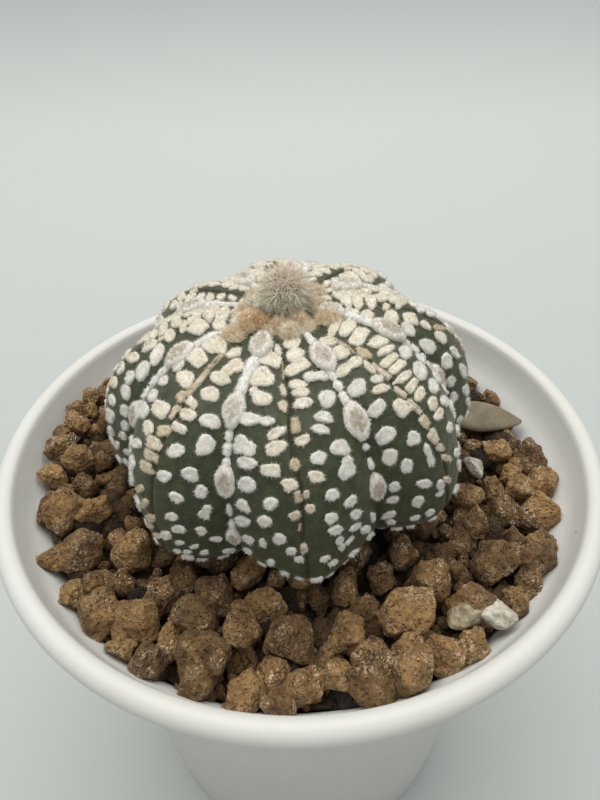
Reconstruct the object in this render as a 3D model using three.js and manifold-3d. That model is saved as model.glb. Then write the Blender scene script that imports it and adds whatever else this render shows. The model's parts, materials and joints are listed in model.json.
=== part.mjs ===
// A star cactus, a low eight-ribbed globe with white flecks, in a white flower pot filled with lumpy soil.
// Millimetres, +Z up, origin at the middle of the pot's base. The plant's own side that is shown best looks
// to -Y. Angles round the plant are counted from -Y, positive towards +X.
import * as THREE from "three";
import { mergeVertices } from "three/addons/utils/BufferGeometryUtils.js";
import Module from "manifold-3d";

const wasm = await Module();
wasm.setup();

// ---- driving dimensions ----

const GAP = 0.3; // clearance between pieces that rest on each other

const POT = {
  height: 92,
  rimRadius: 50, // to the outside of the rolled rim
  beadRadius: 1.82, // of the rolled rim's round section
  wall: 1.2,
  baseRadius: 34,
  shoulderRadius: 40, // outside, where the wall begins to flare out to the rim
  shoulderDrop: 18, // of that place below the rim's plane
  flare: [[6.8, 9], [3.7, 4.6], [2.8, 1.9]], // from there up: in from the rim's outside, and down from its plane
  footWidth: 1.8,
  footHeight: 2.2,
  floor: 1.5,
  holeRadius: 2.6, // drainage
  holeCircle: 20,
  holes: 6,
  sides: 48,
};
const RIM_Z = POT.height - POT.beadRadius; // the rim's plane, from which the plant and the soil are measured

const BODY = {
  crest: 29.45, // radius at a rib's middle line
  valley: 24.55, // radius at an areole line, between two ribs
  equator: 5.1, // height above the rim's plane
  rise: 21.85, // from the equator to the crown
  drop: 8.7, // from the equator to the underside
  upper: 2.73, // how square the upper half's curve is, 2 being an ellipse
  lower: 2.44,
  roundness: 1.68, // of a rib's section: 1 is a roof, 2 a round arch
  ribs: 8,
  turn: 4.4, // degrees from the front to the front rib's middle line
  leanX: -0.093, // sideways slope of its axis
  leanY: -0.028,
  shiftX: -0.6,
  crownShift: [1.3, 0.75], // how far the crown has grown off the axis
  crownSpread: 26, // degrees over which that shift fades
};
// Each rib's and each valley's own turn from the even 45 degree step, counted from the front rib.
const RIB_TURNS = { "-2": -1.4, "-1": 1.5, 0: 1.2, 1: -0.2, 2: -0.9 };
const VALLEY_TURNS = { "-2.5": -6, "-1.5": -5, "-0.5": -0.5, 0.5: 2.3, 1.5: 4.5, 2.5: 4 };
const KEEL = { from: 70, over: 70, sharper: 0.75, deeper: 0.3, halfWidth: 0.5 }; // the front rib's pointed foot

const SEAM = { halfWidth: 0.07, depth: 0.55, scale: 0.35 }; // crease along a rib, with small dried scales in it
const FLECK = {
  height: 0.45,
  inner: 0.72, // share of its outline that its flat top takes
  sides: 5,
  tileSides: 4, // of the angular flecks near the crown
  tileRows: 4,
  columns: [0.26, 0.62], // where the two columns stand on half a rib, from its middle line to the valley
  halfWidths: [0.13, 0.125],
};
// Rows of flecks above and below the equator, and the angles that they start and end at.
const ROWS = { crown: 11, low: 128, upper: 8, lower: 2 };
const ROOT = { neckRadius: 8.5, neckZ: -7, tipRadius: 1.4, tipZ: -40 };

const WOOL = {
  clear: 0.38, // over the skin
  inValley: 1.7, // how much higher it lies over a valley's bottom, to clear both slopes
  thick: 0.85,
  strip: 0.95, // half width of the felt between two areoles, along the skin
  areole: 2.1, // half width of an areole
  length: 6.5, // degrees of the meridian that half an areole takes
  widest: 0.22, // of half a rib
  start: 8,
  end: 84,
  step: 7.6,
  crown: [0.15, 0.96], // the ring round the bud: shares of the way from the socket's lip to the first flecks
};
// Where each valley's areoles sit, in degrees from the crown along the meridian; the rows alternate.
const AREOLES_EVEN = [22, 50, 78];
const AREOLES_ODD = [13, 38, 66];

const BUD = { z: 29.6, core: 3.4, tip: 4.3, tufts: 64, tuftWidth: 0.6, socket: 4.4, socketDepth: 1.6 };

const SOIL = {
  top: -7, // of the bed that the top layer of grains is sunk in
  grainLift: 0.25, // a grain's middle above the bed, as a share of its size
  smallest: 5.4, // sizes of the grains that are dropped at random
  largest: 8,
  packing: 0.9, // how close they may come, as a share of their sizes
  trialCount: 900,
  inner: 23, // radii that the grains lie between
  edge: 44.4,
};
// The grains that are seen best: degrees from the front, distance from the axis, and size.
const SEEN_GRAINS = [
  [-3, 33.5, 8], [10, 34, 7], [16, 30.5, 5], [14, 26, 5.5], [27, 26.5, 5], [26, 33.5, 8.5],
  [38, 31, 7], [40, 38, 8], [54, 36, 8], [14, 38.5, 7], [22, 39, 7], [28, 41, 6], [6.5, 39, 5],
  [0, 40, 6], [12, 43, 7], [20.5, 42.5, 8], [33, 42, 5.5], [48, 41, 5], [58, 40.5, 7], [53, 43, 5],
  [46, 43, 4.5], [63, 42, 6], [63.5, 31, 5], [62, 37, 5], [70, 35, 6], [71.5, 39, 5], [73, 42.5, 7],
  [78, 33, 5], [79, 38, 6], [82, 42, 6], [84.5, 36, 4.5], [93, 35, 5.5], [93, 41, 5], [89.5, 43, 4],
  [114, 42, 4], [122, 41.5, 4], [-10.5, 28.5, 6], [-15.5, 33, 6.5], [-26, 29.5, 7], [-27, 34, 7],
  [-37, 29, 5], [-38, 34, 6], [-20, 38, 8], [-20, 42.5, 6], [-10.5, 41.5, 6.5], [-6, 38.5, 5],
  [-11, 44, 5], [-5, 44, 5], [-29, 38.5, 5], [-30, 42, 6], [-37.5, 38.5, 8.5], [-37, 43.5, 5],
  [-45.5, 41.5, 7], [-49, 35, 5], [-52, 37.5, 5], [-53, 43, 5], [-55, 31, 7.5], [-62, 37.5, 7],
  [-62.5, 42.5, 6], [-72, 34, 6], [-74, 38.5, 7.5], [-76, 42.5, 6], [-80.5, 35, 5], [-85, 41.5, 5],
  [-89, 37, 6], [-93, 41.5, 5.5], [-101, 40, 5], [-111, 42.5, 4.5], [-114, 39.5, 5],
];

const FLAT_STONE = { at: [34.2, 10.2, -4.3], size: [15.6, 8, 3.2], turn: -12.6, point: 0.55 };
const PALE_STONES = [
  { at: [27.2, -31, -3.9], size: [5.6, 3.9, 3.3], turn: -28 },
  { at: [22.4, -31.4, -4.1], size: [4.8, 4.1, 3.5], turn: 20 },
  { at: [31.6, -2.6, -4.2], size: [2.8, 4.2, 2.8], turn: 25 },
];

// ---- helpers ----

const rad = THREE.MathUtils.degToRad;

// A repeatable draw between 0 and 1.
function dice(seed) {
  let state = seed;
  return () => {
    state = (state * 16807) % 2147483647;
    return state / 2147483647;
  };
}

function geometryFrom(points, triangles) {
  const geometry = new THREE.BufferGeometry();
  geometry.setAttribute("position", new THREE.Float32BufferAttribute(points.flatMap((p) => p.toArray()), 3));
  geometry.setIndex(triangles);
  return geometry;
}

function solidFrom(geometry) {
  const bare = geometry.clone();
  bare.deleteAttribute("normal");
  bare.deleteAttribute("uv");
  const merged = mergeVertices(bare, 1e-4);
  const mesh = new wasm.Mesh({
    numProp: 3,
    vertProperties: merged.attributes.position.array,
    triVerts: new Uint32Array(merged.index.array),
  });
  return new wasm.Manifold(mesh);
}

function geometryOf(solid) {
  const mesh = solid.getMesh();
  const geometry = new THREE.BufferGeometry();
  geometry.setAttribute("position", new THREE.BufferAttribute(new Float32Array(mesh.vertProperties), 3));
  geometry.setIndex(new THREE.BufferAttribute(new Uint32Array(mesh.triVerts), 1));
  return geometry;
}

function largestBody(solid) {
  return solid.decompose().reduce((a, b) => (b.volume() > a.volume() ? b : a));
}

function lathe(outline) {
  const geometry = new THREE.LatheGeometry(outline.map(([r, z]) => new THREE.Vector2(r, z)), POT.sides);
  return geometry.rotateX(Math.PI / 2);
}

function piece(name, geometry, color, roughness) {
  const flat = geometry.index ? geometry.toNonIndexed() : geometry;
  flat.computeVertexNormals();
  const mesh = new THREE.Mesh(flat, new THREE.MeshStandardMaterial({ color, roughness, metalness: 0 }));
  mesh.name = name;
  return mesh;
}

// ---- pot ----

// The outside of the wall from the foot up to the rim, and the inside, which runs beside it.
function wallOutside() {
  const flare = POT.flare.map(([inward, down]) => [POT.rimRadius - inward, RIM_Z - down]);
  return [[POT.baseRadius, 0], [POT.shoulderRadius, RIM_Z - POT.shoulderDrop], ...flare];
}

function wallInside(clear) {
  const floorZ = POT.footHeight + POT.floor;
  const [base, ...rest] = wallOutside();
  const floorCorner = [base[0] - POT.wall - clear + 0.3, floorZ + clear];
  return [floorCorner, ...rest.map(([r, z]) => [r - POT.wall - clear, z + 0.4])];
}

function potGeometry() {
  const bead = [];
  const beadCentre = POT.rimRadius - POT.beadRadius;
  for (let angle = -110; angle <= 170; angle += 54) {
    const [out, up] = [Math.cos(rad(angle)), Math.sin(rad(angle))];
    bead.push([beadCentre + POT.beadRadius * out, RIM_Z + POT.beadRadius * up]);
  }
  const outline = [
    [0, POT.footHeight],
    [POT.baseRadius - POT.footWidth - 0.6, POT.footHeight],
    [POT.baseRadius - POT.footWidth, 0],
    ...wallOutside(),
    ...bead,
    ...wallInside(0).reverse(),
    [0, POT.footHeight + POT.floor],
  ];
  let pot = solidFrom(lathe(outline));
  for (let i = 0; i <= POT.holes; i++) {
    const hole = new THREE.CylinderGeometry(POT.holeRadius, POT.holeRadius, 4 * POT.floor, 8);
    hole.rotateX(Math.PI / 2);
    const angle = (i * 2 * Math.PI) / POT.holes;
    const out = i < POT.holes ? POT.holeCircle : 0;
    hole.translate(out * Math.cos(angle), out * Math.sin(angle), POT.footHeight + POT.floor / 2);
    pot = pot.subtract(solidFrom(hole));
  }
  return geometryOf(pot);
}

// ---- the plant's surface ----

function ribAngle(rib) {
  const half = BODY.ribs / 2;
  const near = ((((rib + half) % BODY.ribs) + BODY.ribs) % BODY.ribs) - half;
  return BODY.turn + (rib * 360) / BODY.ribs + (RIB_TURNS[near] ?? VALLEY_TURNS[near] ?? 0);
}

// A point of the body: across runs from -1 to 1 over one rib, valley to valley, and down is the angle from the
// crown (0) over the equator (90) to the underside.
function bodyPoint(rib, across, down) {
  const middle = ribAngle(rib);
  const side = ribAngle(rib + (across < 0 ? -0.5 : 0.5));
  const around = rad(middle + (side - middle) * Math.abs(across));
  const keel = rib % BODY.ribs === 0 ? THREE.MathUtils.clamp((down - KEEL.from) / KEEL.over, 0, 1) : 0;
  const isKeel = rib % BODY.ribs === 0;
  const swell = 1 - Math.abs(across) ** (BODY.roundness - KEEL.sharper * keel);
  const reach = BODY.valley + (BODY.crest - BODY.valley) * swell;
  const sin = Math.abs(Math.sin(rad(down)));
  const cos = Math.abs(Math.cos(rad(down)));
  const power = 2 / (down > 90 ? BODY.lower : BODY.upper);
  const deeper = isKeel ? 1 + KEEL.deeper * Math.max(0, 1 - Math.abs(across) / KEEL.halfWidth) : 1;
  const height = down > 90 ? -BODY.drop * deeper : BODY.rise;
  const radius = reach * sin ** power;
  const x = radius * Math.sin(around);
  const y = -radius * Math.cos(around);
  const z = BODY.equator + height * cos ** power;
  const crown = Math.exp(-((down / BODY.crownSpread) ** 2));
  return new THREE.Vector3(
    x + z * BODY.leanX + BODY.shiftX + crown * BODY.crownShift[0],
    y + z * BODY.leanY + crown * BODY.crownShift[1],
    z - x * BODY.leanX - y * BODY.leanY,
  );
}

// The same point raised along the surface's own direction.
function raisedPoint(rib, across, down, lift) {
  const here = bodyPoint(rib, across, down);
  if (lift === 0) return here;
  const step = 0.02;
  const side = across > 0 ? -step : step;
  const along = bodyPoint(rib, across + side, down).sub(here).divideScalar(side);
  const fall = bodyPoint(rib, across, down + 1).sub(bodyPoint(rib, across, down - 1));
  return here.addScaledVector(along.cross(fall).normalize(), -lift);
}

// A point over a valley, where the two ribs' directions are averaged.
function valleyPoint(valley, lift, down) {
  const left = raisedPoint(valley - 0.5, 1, down, lift);
  const right = raisedPoint(valley + 0.5, -1, down, lift);
  return left.add(right).multiplyScalar(0.5);
}

// Angles that cut the meridian between two angles into stretches of equal length.
function evenRows(from, to, count) {
  const steps = 400;
  const lengths = [0];
  let before = bodyPoint(2, 0.5, from);
  for (let i = 1; i <= steps; i++) {
    const here = bodyPoint(2, 0.5, from + ((to - from) * i) / steps);
    lengths.push(lengths[i - 1] + here.distanceTo(before));
    before = here;
  }
  const rows = [];
  for (let n = 0; n <= count; n++) {
    const wanted = (lengths[steps] * n) / count;
    const i = lengths.findIndex((length) => length >= wanted);
    rows.push(from + ((to - from) * i) / steps);
  }
  return rows;
}

const FLECK_ROWS = [...evenRows(ROWS.crown, 90, ROWS.upper), ...evenRows(90, ROWS.low, ROWS.lower).slice(1)];

// ---- body ----

// The grid's lines across one rib: valley, between the columns, the crease's edge, its bottom and so on.
const LINES = [-1, -0.44, -SEAM.halfWidth, 0, SEAM.halfWidth, 0.44];

function bodyGeometry() {
  const points = [];
  const triangles = [];
  const draw = dice(71);
  const add = (point) => points.push(point) - 1;
  const face = (a, b, c) => triangles.push(a, b, c);
  const columns = BODY.ribs * LINES.length;
  const place = (column) => [Math.floor(column / LINES.length), LINES[column % LINES.length]];

  function ring(down, creased) {
    const row = [];
    for (let column = 0; column < columns; column++) {
      const [rib, across] = place(column);
      row.push(add(raisedPoint(rib, across, down, across === 0 ? creased : 0)));
    }
    return row;
  }

  function plainBand(upper, lower, column) {
    const next = (column + 1) % columns;
    face(upper[column], lower[column], lower[next]);
    face(upper[column], lower[next], upper[next]);
  }

  // One fleck: a flat-topped pad with an uneven outline, standing on its own cell of the grid.
  function fleckCell(upper, lower, column, downs, sides) {
    const next = (column + 1) % columns;
    const [rib, left] = place(column);
    const right = column % LINES.length === LINES.length - 1 ? 1 : LINES[(column % LINES.length) + 1];
    const sign = left + right < 0 ? -1 : 1;
    const inner = Math.abs(left + right) < 0.6 ? 0 : 1;
    const centre = sign * (FLECK.columns[inner] + 0.02 * (draw() - 0.5));
    const halfWidth = FLECK.halfWidths[inner] * (0.85 + 0.15 * draw());
    const height = downs[1] - downs[0];
    const middle = downs[0] + height * (0.5 + 0.1 * (inner ? 1 : -1) + 0.08 * (draw() - 0.5));
    const halfHeight = height * (0.3 + 0.07 * draw());
    const spin = draw() * Math.PI;
    const outline = [];
    for (let i = 0; i < sides; i++) {
      const angle = spin + (i * 2 * Math.PI) / sides;
      outline.push([Math.cos(angle) * (0.85 + 0.15 * draw()), Math.sin(angle) * (0.85 + 0.15 * draw())]);
    }
    const spot = (share, [u, v]) => [centre + share * halfWidth * u, middle + share * halfHeight * v];
    const foot = outline.map((p) => spot(1, p));
    const feet = foot.map(([across, down]) => add(raisedPoint(rib, across, down, 0)));
    const tops = outline.map((p) => add(raisedPoint(rib, ...spot(FLECK.inner, p), FLECK.height)));
    const corners = [
      [left, downs[0]],
      [left, downs[1]],
      [right, downs[1]],
      [right, downs[0]],
    ].map(([a, d]) => new THREE.Vector2(-a, d));
    const hole = foot.map(([a, d]) => new THREE.Vector2(-a, d));
    const all = [upper[column], lower[column], lower[next], upper[next], ...feet];
    for (const [a, b, c] of THREE.ShapeUtils.triangulateShape(corners, [hole])) face(all[a], all[b], all[c]);
    for (let i = 0; i < sides; i++) {
      const j = (i + 1) % sides;
      face(feet[j], feet[i], tops[i]);
      face(feet[j], tops[i], tops[j]);
    }
    for (let i = 1; i < sides - 1; i++) face(tops[0], tops[i + 1], tops[i]);
  }

  // The crown, with the bud's socket in its middle.
  const socketFloor = add(new THREE.Vector3(...budCentre()).setZ(crownZ() - BUD.socketDepth));
  const socketRing = (radius, z) => {
    const row = [];
    for (let column = 0; column < columns; column++) {
      const [rib, across] = place(column);
      const outward = bodyPoint(rib, across, ROWS.crown).sub(bodyPoint(0, 0, 0));
      outward.setZ(0).setLength(radius);
      const [x, y] = budCentre();
      row.push(add(new THREE.Vector3(x + outward.x, y + outward.y, z)));
    }
    return row;
  };
  const deep = socketRing(BUD.socket - 0.6, crownZ() - BUD.socketDepth);
  const lip = socketRing(BUD.socket, crownZ());
  const rings = FLECK_ROWS.map((down, i) => ring(down, i % 2 ? SEAM.scale : -SEAM.depth));
  for (let column = 0; column < columns; column++) {
    face(socketFloor, deep[column], deep[(column + 1) % columns]);
    plainBand(deep, lip, column);
    plainBand(lip, rings[0], column);
  }

  // The flecked rows.
  for (let row = 0; row + 1 < rings.length; row++) {
    const sides = row < FLECK.tileRows ? FLECK.tileSides : FLECK.sides;
    for (let column = 0; column < columns; column++) {
      const line = column % LINES.length;
      const isCrease = line === 2 || line === 3;
      if (isCrease) plainBand(rings[row], rings[row + 1], column);
      else fleckCell(rings[row], rings[row + 1], column, [FLECK_ROWS[row], FLECK_ROWS[row + 1]], sides);
    }
  }

  // The underside, the neck and the root.
  const under = [ring(145, 0), ring(158, 0)];
  const rootRing = (radius, z) => {
    const row = [];
    for (let column = 0; column < columns; column++) {
      const [rib, across] = place(column);
      const [x, y] = [bodyPoint(rib, across, 150).x, bodyPoint(rib, across, 150).y];
      const outward = new THREE.Vector3(x - BODY.shiftX, y, 0).setLength(radius);
      row.push(add(outward.add(new THREE.Vector3(BODY.shiftX, 0, z))));
    }
    return row;
  };
  const below = [
    ...under,
    rootRing(ROOT.neckRadius, ROOT.neckZ),
    rootRing(ROOT.neckRadius * 0.7, (ROOT.neckZ + ROOT.tipZ) / 2),
    rootRing(ROOT.tipRadius, ROOT.tipZ),
  ];
  const tip = add(new THREE.Vector3(BODY.shiftX, 0, ROOT.tipZ - 0.6));
  let above = rings[rings.length - 1];
  for (const row of below) {
    for (let column = 0; column < columns; column++) plainBand(above, row, column);
    above = row;
  }
  for (let column = 0; column < columns; column++) face(tip, above[(column + 1) % columns], above[column]);
  return geometryFrom(points, triangles);
}

function crownZ() {
  return bodyPoint(0, 0, ROWS.crown).z - 0.2;
}

function budCentre() {
  const crown = bodyPoint(0, 0, 0);
  return [crown.x, crown.y, BUD.z];
}

// ---- wool ----

function halfWidthOfFelt(valley, down) {
  const areoles = Math.floor(valley) % 2 ? AREOLES_ODD : AREOLES_EVEN;
  let width = WOOL.strip;
  for (const at of areoles) {
    const off = Math.min(1, Math.abs(down - at) / WOOL.length);
    width = Math.max(width, WOOL.strip + (WOOL.areole - WOOL.strip) * Math.cos((off * Math.PI) / 2));
  }
  const halfRib = bodyPoint(valley - 0.5, 1, down).distanceTo(bodyPoint(valley - 0.5, 0.8, down)) / 0.2;
  return Math.min(width / halfRib, WOOL.widest);
}

// The strip of felt down one valley, wider at each areole: a row of five-sided sections.
function feltStrip(valley) {
  const points = [];
  const triangles = [];
  const sides = 5;
  const count = Math.round((WOOL.end - WOOL.start) / WOOL.step);
  for (let n = 0; n <= count; n++) {
    const down = WOOL.start + (n * (WOOL.end - WOOL.start)) / count;
    const width = halfWidthOfFelt(valley, down);
    const left = raisedPoint(valley - 0.5, 1 - width, down, WOOL.clear);
    const right = raisedPoint(valley + 0.5, -1 + width, down, WOOL.clear);
    const bottom = valleyPoint(valley, WOOL.clear * WOOL.inValley, down);
    const up = valleyPoint(valley, 1, down).sub(valleyPoint(valley, 0, down)).setLength(WOOL.thick);
    const topLeft = left.clone().lerp(right, 0.22).add(up);
    const topRight = left.clone().lerp(right, 0.78).add(up);
    points.push(left, bottom, right, topRight, topLeft);
  }
  for (let n = 0; n < count; n++) {
    for (let i = 0; i < sides; i++) {
      const a = n * sides + i;
      const b = n * sides + ((i + 1) % sides);
      triangles.push(a, b, b + sides, a, b + sides, a + sides);
    }
  }
  const last = count * sides;
  for (let i = 1; i + 1 < sides; i++) {
    triangles.push(0, i + 1, i);
    triangles.push(last, last + i, last + i + 1);
  }
  return geometryFrom(points, triangles);
}

// The ring of wool round the bud, thickest over the valleys, where the youngest areoles stand.
function crownWool() {
  const points = [];
  const triangles = [];
  const lines = [-1, -0.44, 0, 0.44];
  const [x, y] = budCentre();
  const around = BODY.ribs * lines.length;
  for (let column = 0; column < around; column++) {
    const rib = Math.floor(column / lines.length);
    const across = lines[column % lines.length];
    const outer = bodyPoint(rib, across, ROWS.crown);
    const lip = outer.clone().sub(new THREE.Vector3(x, y, 0)).setZ(0).setLength(BUD.socket);
    lip.add(new THREE.Vector3(x, y, crownZ()));
    const high = WOOL.thick * (1.1 + 0.6 * Math.abs(across));
    const at = (share, lift) => lip.clone().lerp(outer, share).add(new THREE.Vector3(0, 0, WOOL.clear + lift));
    const [inside, outside] = WOOL.crown;
    points.push(at(inside, 0), at(outside, 0), at(outside - 0.15, high * 0.8), at(inside + 0.1, high));
  }
  const sides = 4;
  for (let column = 0; column < around; column++) {
    const next = (column + 1) % around;
    for (let i = 0; i < sides; i++) {
      const a = column * sides + i;
      const b = column * sides + ((i + 1) % sides);
      const c = next * sides + ((i + 1) % sides);
      const d = next * sides + i;
      triangles.push(a, c, b, a, d, c);
    }
  }
  return geometryFrom(points, triangles);
}

function woolGeometry() {
  let wool = solidFrom(crownWool());
  for (let i = 0; i < BODY.ribs; i++) wool = wool.add(solidFrom(feltStrip(i + 0.5)));
  return geometryOf(wool);
}

// ---- flower bud ----

function budGeometry() {
  const centre = new THREE.Vector3(...budCentre());
  const footZ = crownZ() - BUD.socketDepth + GAP;
  const foot = new THREE.CylinderGeometry(BUD.core * 1.1, BUD.socket - 1, centre.z - footZ, 14);
  foot.rotateX(Math.PI / 2).translate(centre.x, centre.y, (centre.z + footZ) / 2);
  const core = new THREE.IcosahedronGeometry(BUD.core, 1).translate(...centre.toArray());
  let bud = solidFrom(core).add(solidFrom(foot));
  const draw = dice(907);
  const goldenTurn = Math.PI * (3 - Math.sqrt(5));
  for (let i = 0; i < BUD.tufts; i++) {
    const z = 1 - (1.25 * (i + 0.5)) / BUD.tufts;
    const out = Math.sqrt(1 - z * z);
    const direction = new THREE.Vector3(out * Math.cos(i * goldenTurn), out * Math.sin(i * goldenTurn), z);
    const length = BUD.tip * (0.93 + 0.07 * draw());
    const root = BUD.core * 0.55;
    const tuft = new THREE.ConeGeometry(BUD.tuftWidth, length - root, 3).rotateX(Math.PI / 2);
    tuft.translate(0, 0, (length + root) / 2);
    const lean = new THREE.Vector3(draw() - 0.5, draw() - 0.5, draw()).multiplyScalar(0.25);
    const aim = direction.clone().add(lean).normalize();
    tuft.applyQuaternion(new THREE.Quaternion().setFromUnitVectors(new THREE.Vector3(0, 0, 1), aim));
    bud = bud.add(solidFrom(tuft.translate(...centre.toArray())));
  }
  return geometryOf(largestBody(bud));
}

// ---- soil and stones ----

// A lump with flat faces: an icosahedron with its corners pushed in and out.
function lumpGeometry([length, width, height], detail, draw) {
  const ball = new THREE.IcosahedronGeometry(0.5, detail);
  ball.deleteAttribute("normal");
  ball.deleteAttribute("uv");
  const lump = mergeVertices(ball, 1e-4);
  const corner = new THREE.Vector3();
  for (let i = 0; i < lump.attributes.position.count; i++) {
    corner.fromBufferAttribute(lump.attributes.position, i).multiplyScalar(0.86 + 0.26 * draw());
    lump.attributes.position.setXYZ(i, corner.x * length, corner.y * width, corner.z * height);
  }
  return lump;
}

function polar(angle, radius, z) {
  return new THREE.Vector3(radius * Math.sin(rad(angle)), -radius * Math.cos(rad(angle)), z);
}

// The grains of the top layer: the seen ones, and others dropped at random where there is room.
function grainPlaces() {
  const draw = dice(4127);
  const places = SEEN_GRAINS.map(([angle, radius, size]) => {
    return { at: polar(angle, Math.min(radius, SOIL.edge - size / 2), 0), size };
  });
  for (const stone of [FLAT_STONE, ...PALE_STONES]) {
    places.push({ at: new THREE.Vector3(stone.at[0], stone.at[1], 0), size: stone.size[1], isStone: true });
  }
  for (let i = 0; i < SOIL.trialCount; i++) {
    const size = SOIL.smallest + (SOIL.largest - SOIL.smallest) * draw();
    const [least, most] = [SOIL.inner, SOIL.edge - size / 2];
    const at = polar(360 * draw(), Math.sqrt(least ** 2 + (most ** 2 - least ** 2) * draw()), 0);
    const room = places.every((other) => other.at.distanceTo(at) > (SOIL.packing * (other.size + size)) / 2);
    if (room) places.push({ at, size });
  }
  return places.filter((place) => !place.isStone);
}

// The pot's inside up to a height, kept clear of its wall and floor.
function potFilling(topZ) {
  const wall = wallInside(GAP).map(([r, z]) => [r, z - RIM_Z]);
  const outline = [[0, wall[0][1]]];
  for (let i = 0; i < wall.length && wall[i][1] < topZ; i++) {
    outline.push(wall[i]);
    const next = wall[i + 1];
    if (!next || next[1] < topZ) continue;
    const share = (topZ - wall[i][1]) / (next[1] - wall[i][1]);
    outline.push([wall[i][0] + share * (next[0] - wall[i][0]), topZ]);
  }
  if (outline.at(-1)[1] < topZ) outline.push([outline.at(-1)[0], topZ]);
  outline.push([0, topZ]);
  return solidFrom(lathe(outline));
}

// What the plant takes out of the soil: its underside, neck and root with room round them.
function plantHollow() {
  const points = [];
  const triangles = [];
  const lines = [-1, -0.5, 0, 0.5];
  const around = BODY.ribs * lines.length;
  const room = 1.1;
  const rows = [];
  for (const down of [70, 80, 90, 99, 108, 117, 126, 136, 147, 158]) {
    rows.push((rib, across) => raisedPoint(rib, across, down, down > 150 ? room / 2 : room));
  }
  const rootAt = (radius, z) => (rib, across) => {
    const outward = bodyPoint(rib, across, 150).setZ(0);
    outward.x -= BODY.shiftX;
    outward.setLength(radius + GAP + 0.05);
    return outward.add(new THREE.Vector3(BODY.shiftX, 0, z));
  };
  rows.push(rootAt(ROOT.neckRadius, ROOT.neckZ));
  rows.push(rootAt(ROOT.neckRadius * 0.7, (ROOT.neckZ + ROOT.tipZ) / 2));
  rows.push(rootAt(ROOT.tipRadius, ROOT.tipZ - GAP));
  for (const row of rows) {
    for (let column = 0; column < around; column++) {
      points.push(row(Math.floor(column / lines.length), lines[column % lines.length]));
    }
  }
  const top = points.push(new THREE.Vector3(BODY.shiftX, 0, points[0].z)) - 1;
  const tip = points.push(new THREE.Vector3(BODY.shiftX, 0, ROOT.tipZ - 1 - GAP)) - 1;
  const last = (rows.length - 1) * around;
  for (let column = 0; column < around; column++) {
    const next = (column + 1) % around;
    triangles.push(top, column, next, tip, last + next, last + column);
    for (let row = 0; row + 1 < rows.length; row++) {
      const [a, b] = [row * around + column, row * around + next];
      triangles.push(a, a + around, b + around, a, b + around, b);
    }
  }
  return solidFrom(geometryFrom(points, triangles));
}

function stoneGeometry(stone, clear, seed) {
  const size = stone.size.map((length) => length + 2 * clear);
  const geometry = stone.point ? pointedStone(size, stone.point) : lumpGeometry(size, 1, dice(seed));
  return geometry.rotateZ(rad(stone.turn)).translate(...stone.at);
}

// A smooth flat pebble that narrows to a point at +X.
function pointedStone([length, width, height], point) {
  const ball = new THREE.SphereGeometry(0.5, 12, 7).rotateY(Math.PI / 2);
  const corners = ball.attributes.position;
  for (let i = 0; i < corners.count; i++) {
    const x = corners.getX(i);
    const slim = 1 - point * Math.max(0, 2 * x) ** 1.5 * 0.8;
    corners.setXYZ(i, x * length, corners.getY(i) * width * slim, corners.getZ(i) * height * slim);
  }
  return ball;
}

function soilGeometry() {
  const draw = dice(611);
  let grains = null;
  for (const { at, size } of grainPlaces()) {
    const shape = [1 + 0.15 * draw(), 0.85 + 0.15 * draw(), 0.85].map((share) => share * size);
    const lump = lumpGeometry(shape, 0, draw);
    lump.rotateX(draw() * 6).rotateY(draw() * 6).rotateZ(draw() * 6);
    lump.translate(at.x, at.y, SOIL.top + SOIL.grainLift * size + 0.4 * (draw() - 0.5));
    grains = grains ? grains.add(solidFrom(lump)) : solidFrom(lump);
  }
  let soil = potFilling(SOIL.top).add(grains.intersect(potFilling(-0.5)));
  soil = soil.subtract(plantHollow());
  [FLAT_STONE, ...PALE_STONES].forEach((stone, i) => {
    soil = soil.subtract(solidFrom(stoneGeometry(stone, GAP + 0.05, 31 + i)));
  });
  return geometryOf(largestBody(soil));
}

// ---- the whole ----

const filling = new THREE.Group();
filling.position.z = RIM_Z;
filling.add(
  piece("soil", soilGeometry(), 0x7d5a3c, 0.9),
  piece("cactus_body", bodyGeometry(), 0x46533f, 0.6),
  piece("areole_wool", woolGeometry(), 0xcfc3b4, 1),
  piece("flower_bud", budGeometry(), 0xa39b88, 1),
  piece("flat_stone", stoneGeometry(FLAT_STONE, 0, 31), 0x857a66, 0.8),
);
PALE_STONES.forEach((stone, i) => {
  filling.add(piece("pale_stone_" + (i + 1), stoneGeometry(stone, 0, 32 + i), 0xbdb6a2, 0.9));
});

const cactusInPot = new THREE.Group();
cactusInPot.add(piece("pot", potGeometry(), 0xf2f1ec, 0.25), filling);

export default cactusInPot;
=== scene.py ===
import json
import math

import bmesh
import bpy
import numpy as np
from bpy.props import FloatProperty, FloatVectorProperty, IntProperty, PointerProperty
from mathutils import Matrix, Vector

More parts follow.
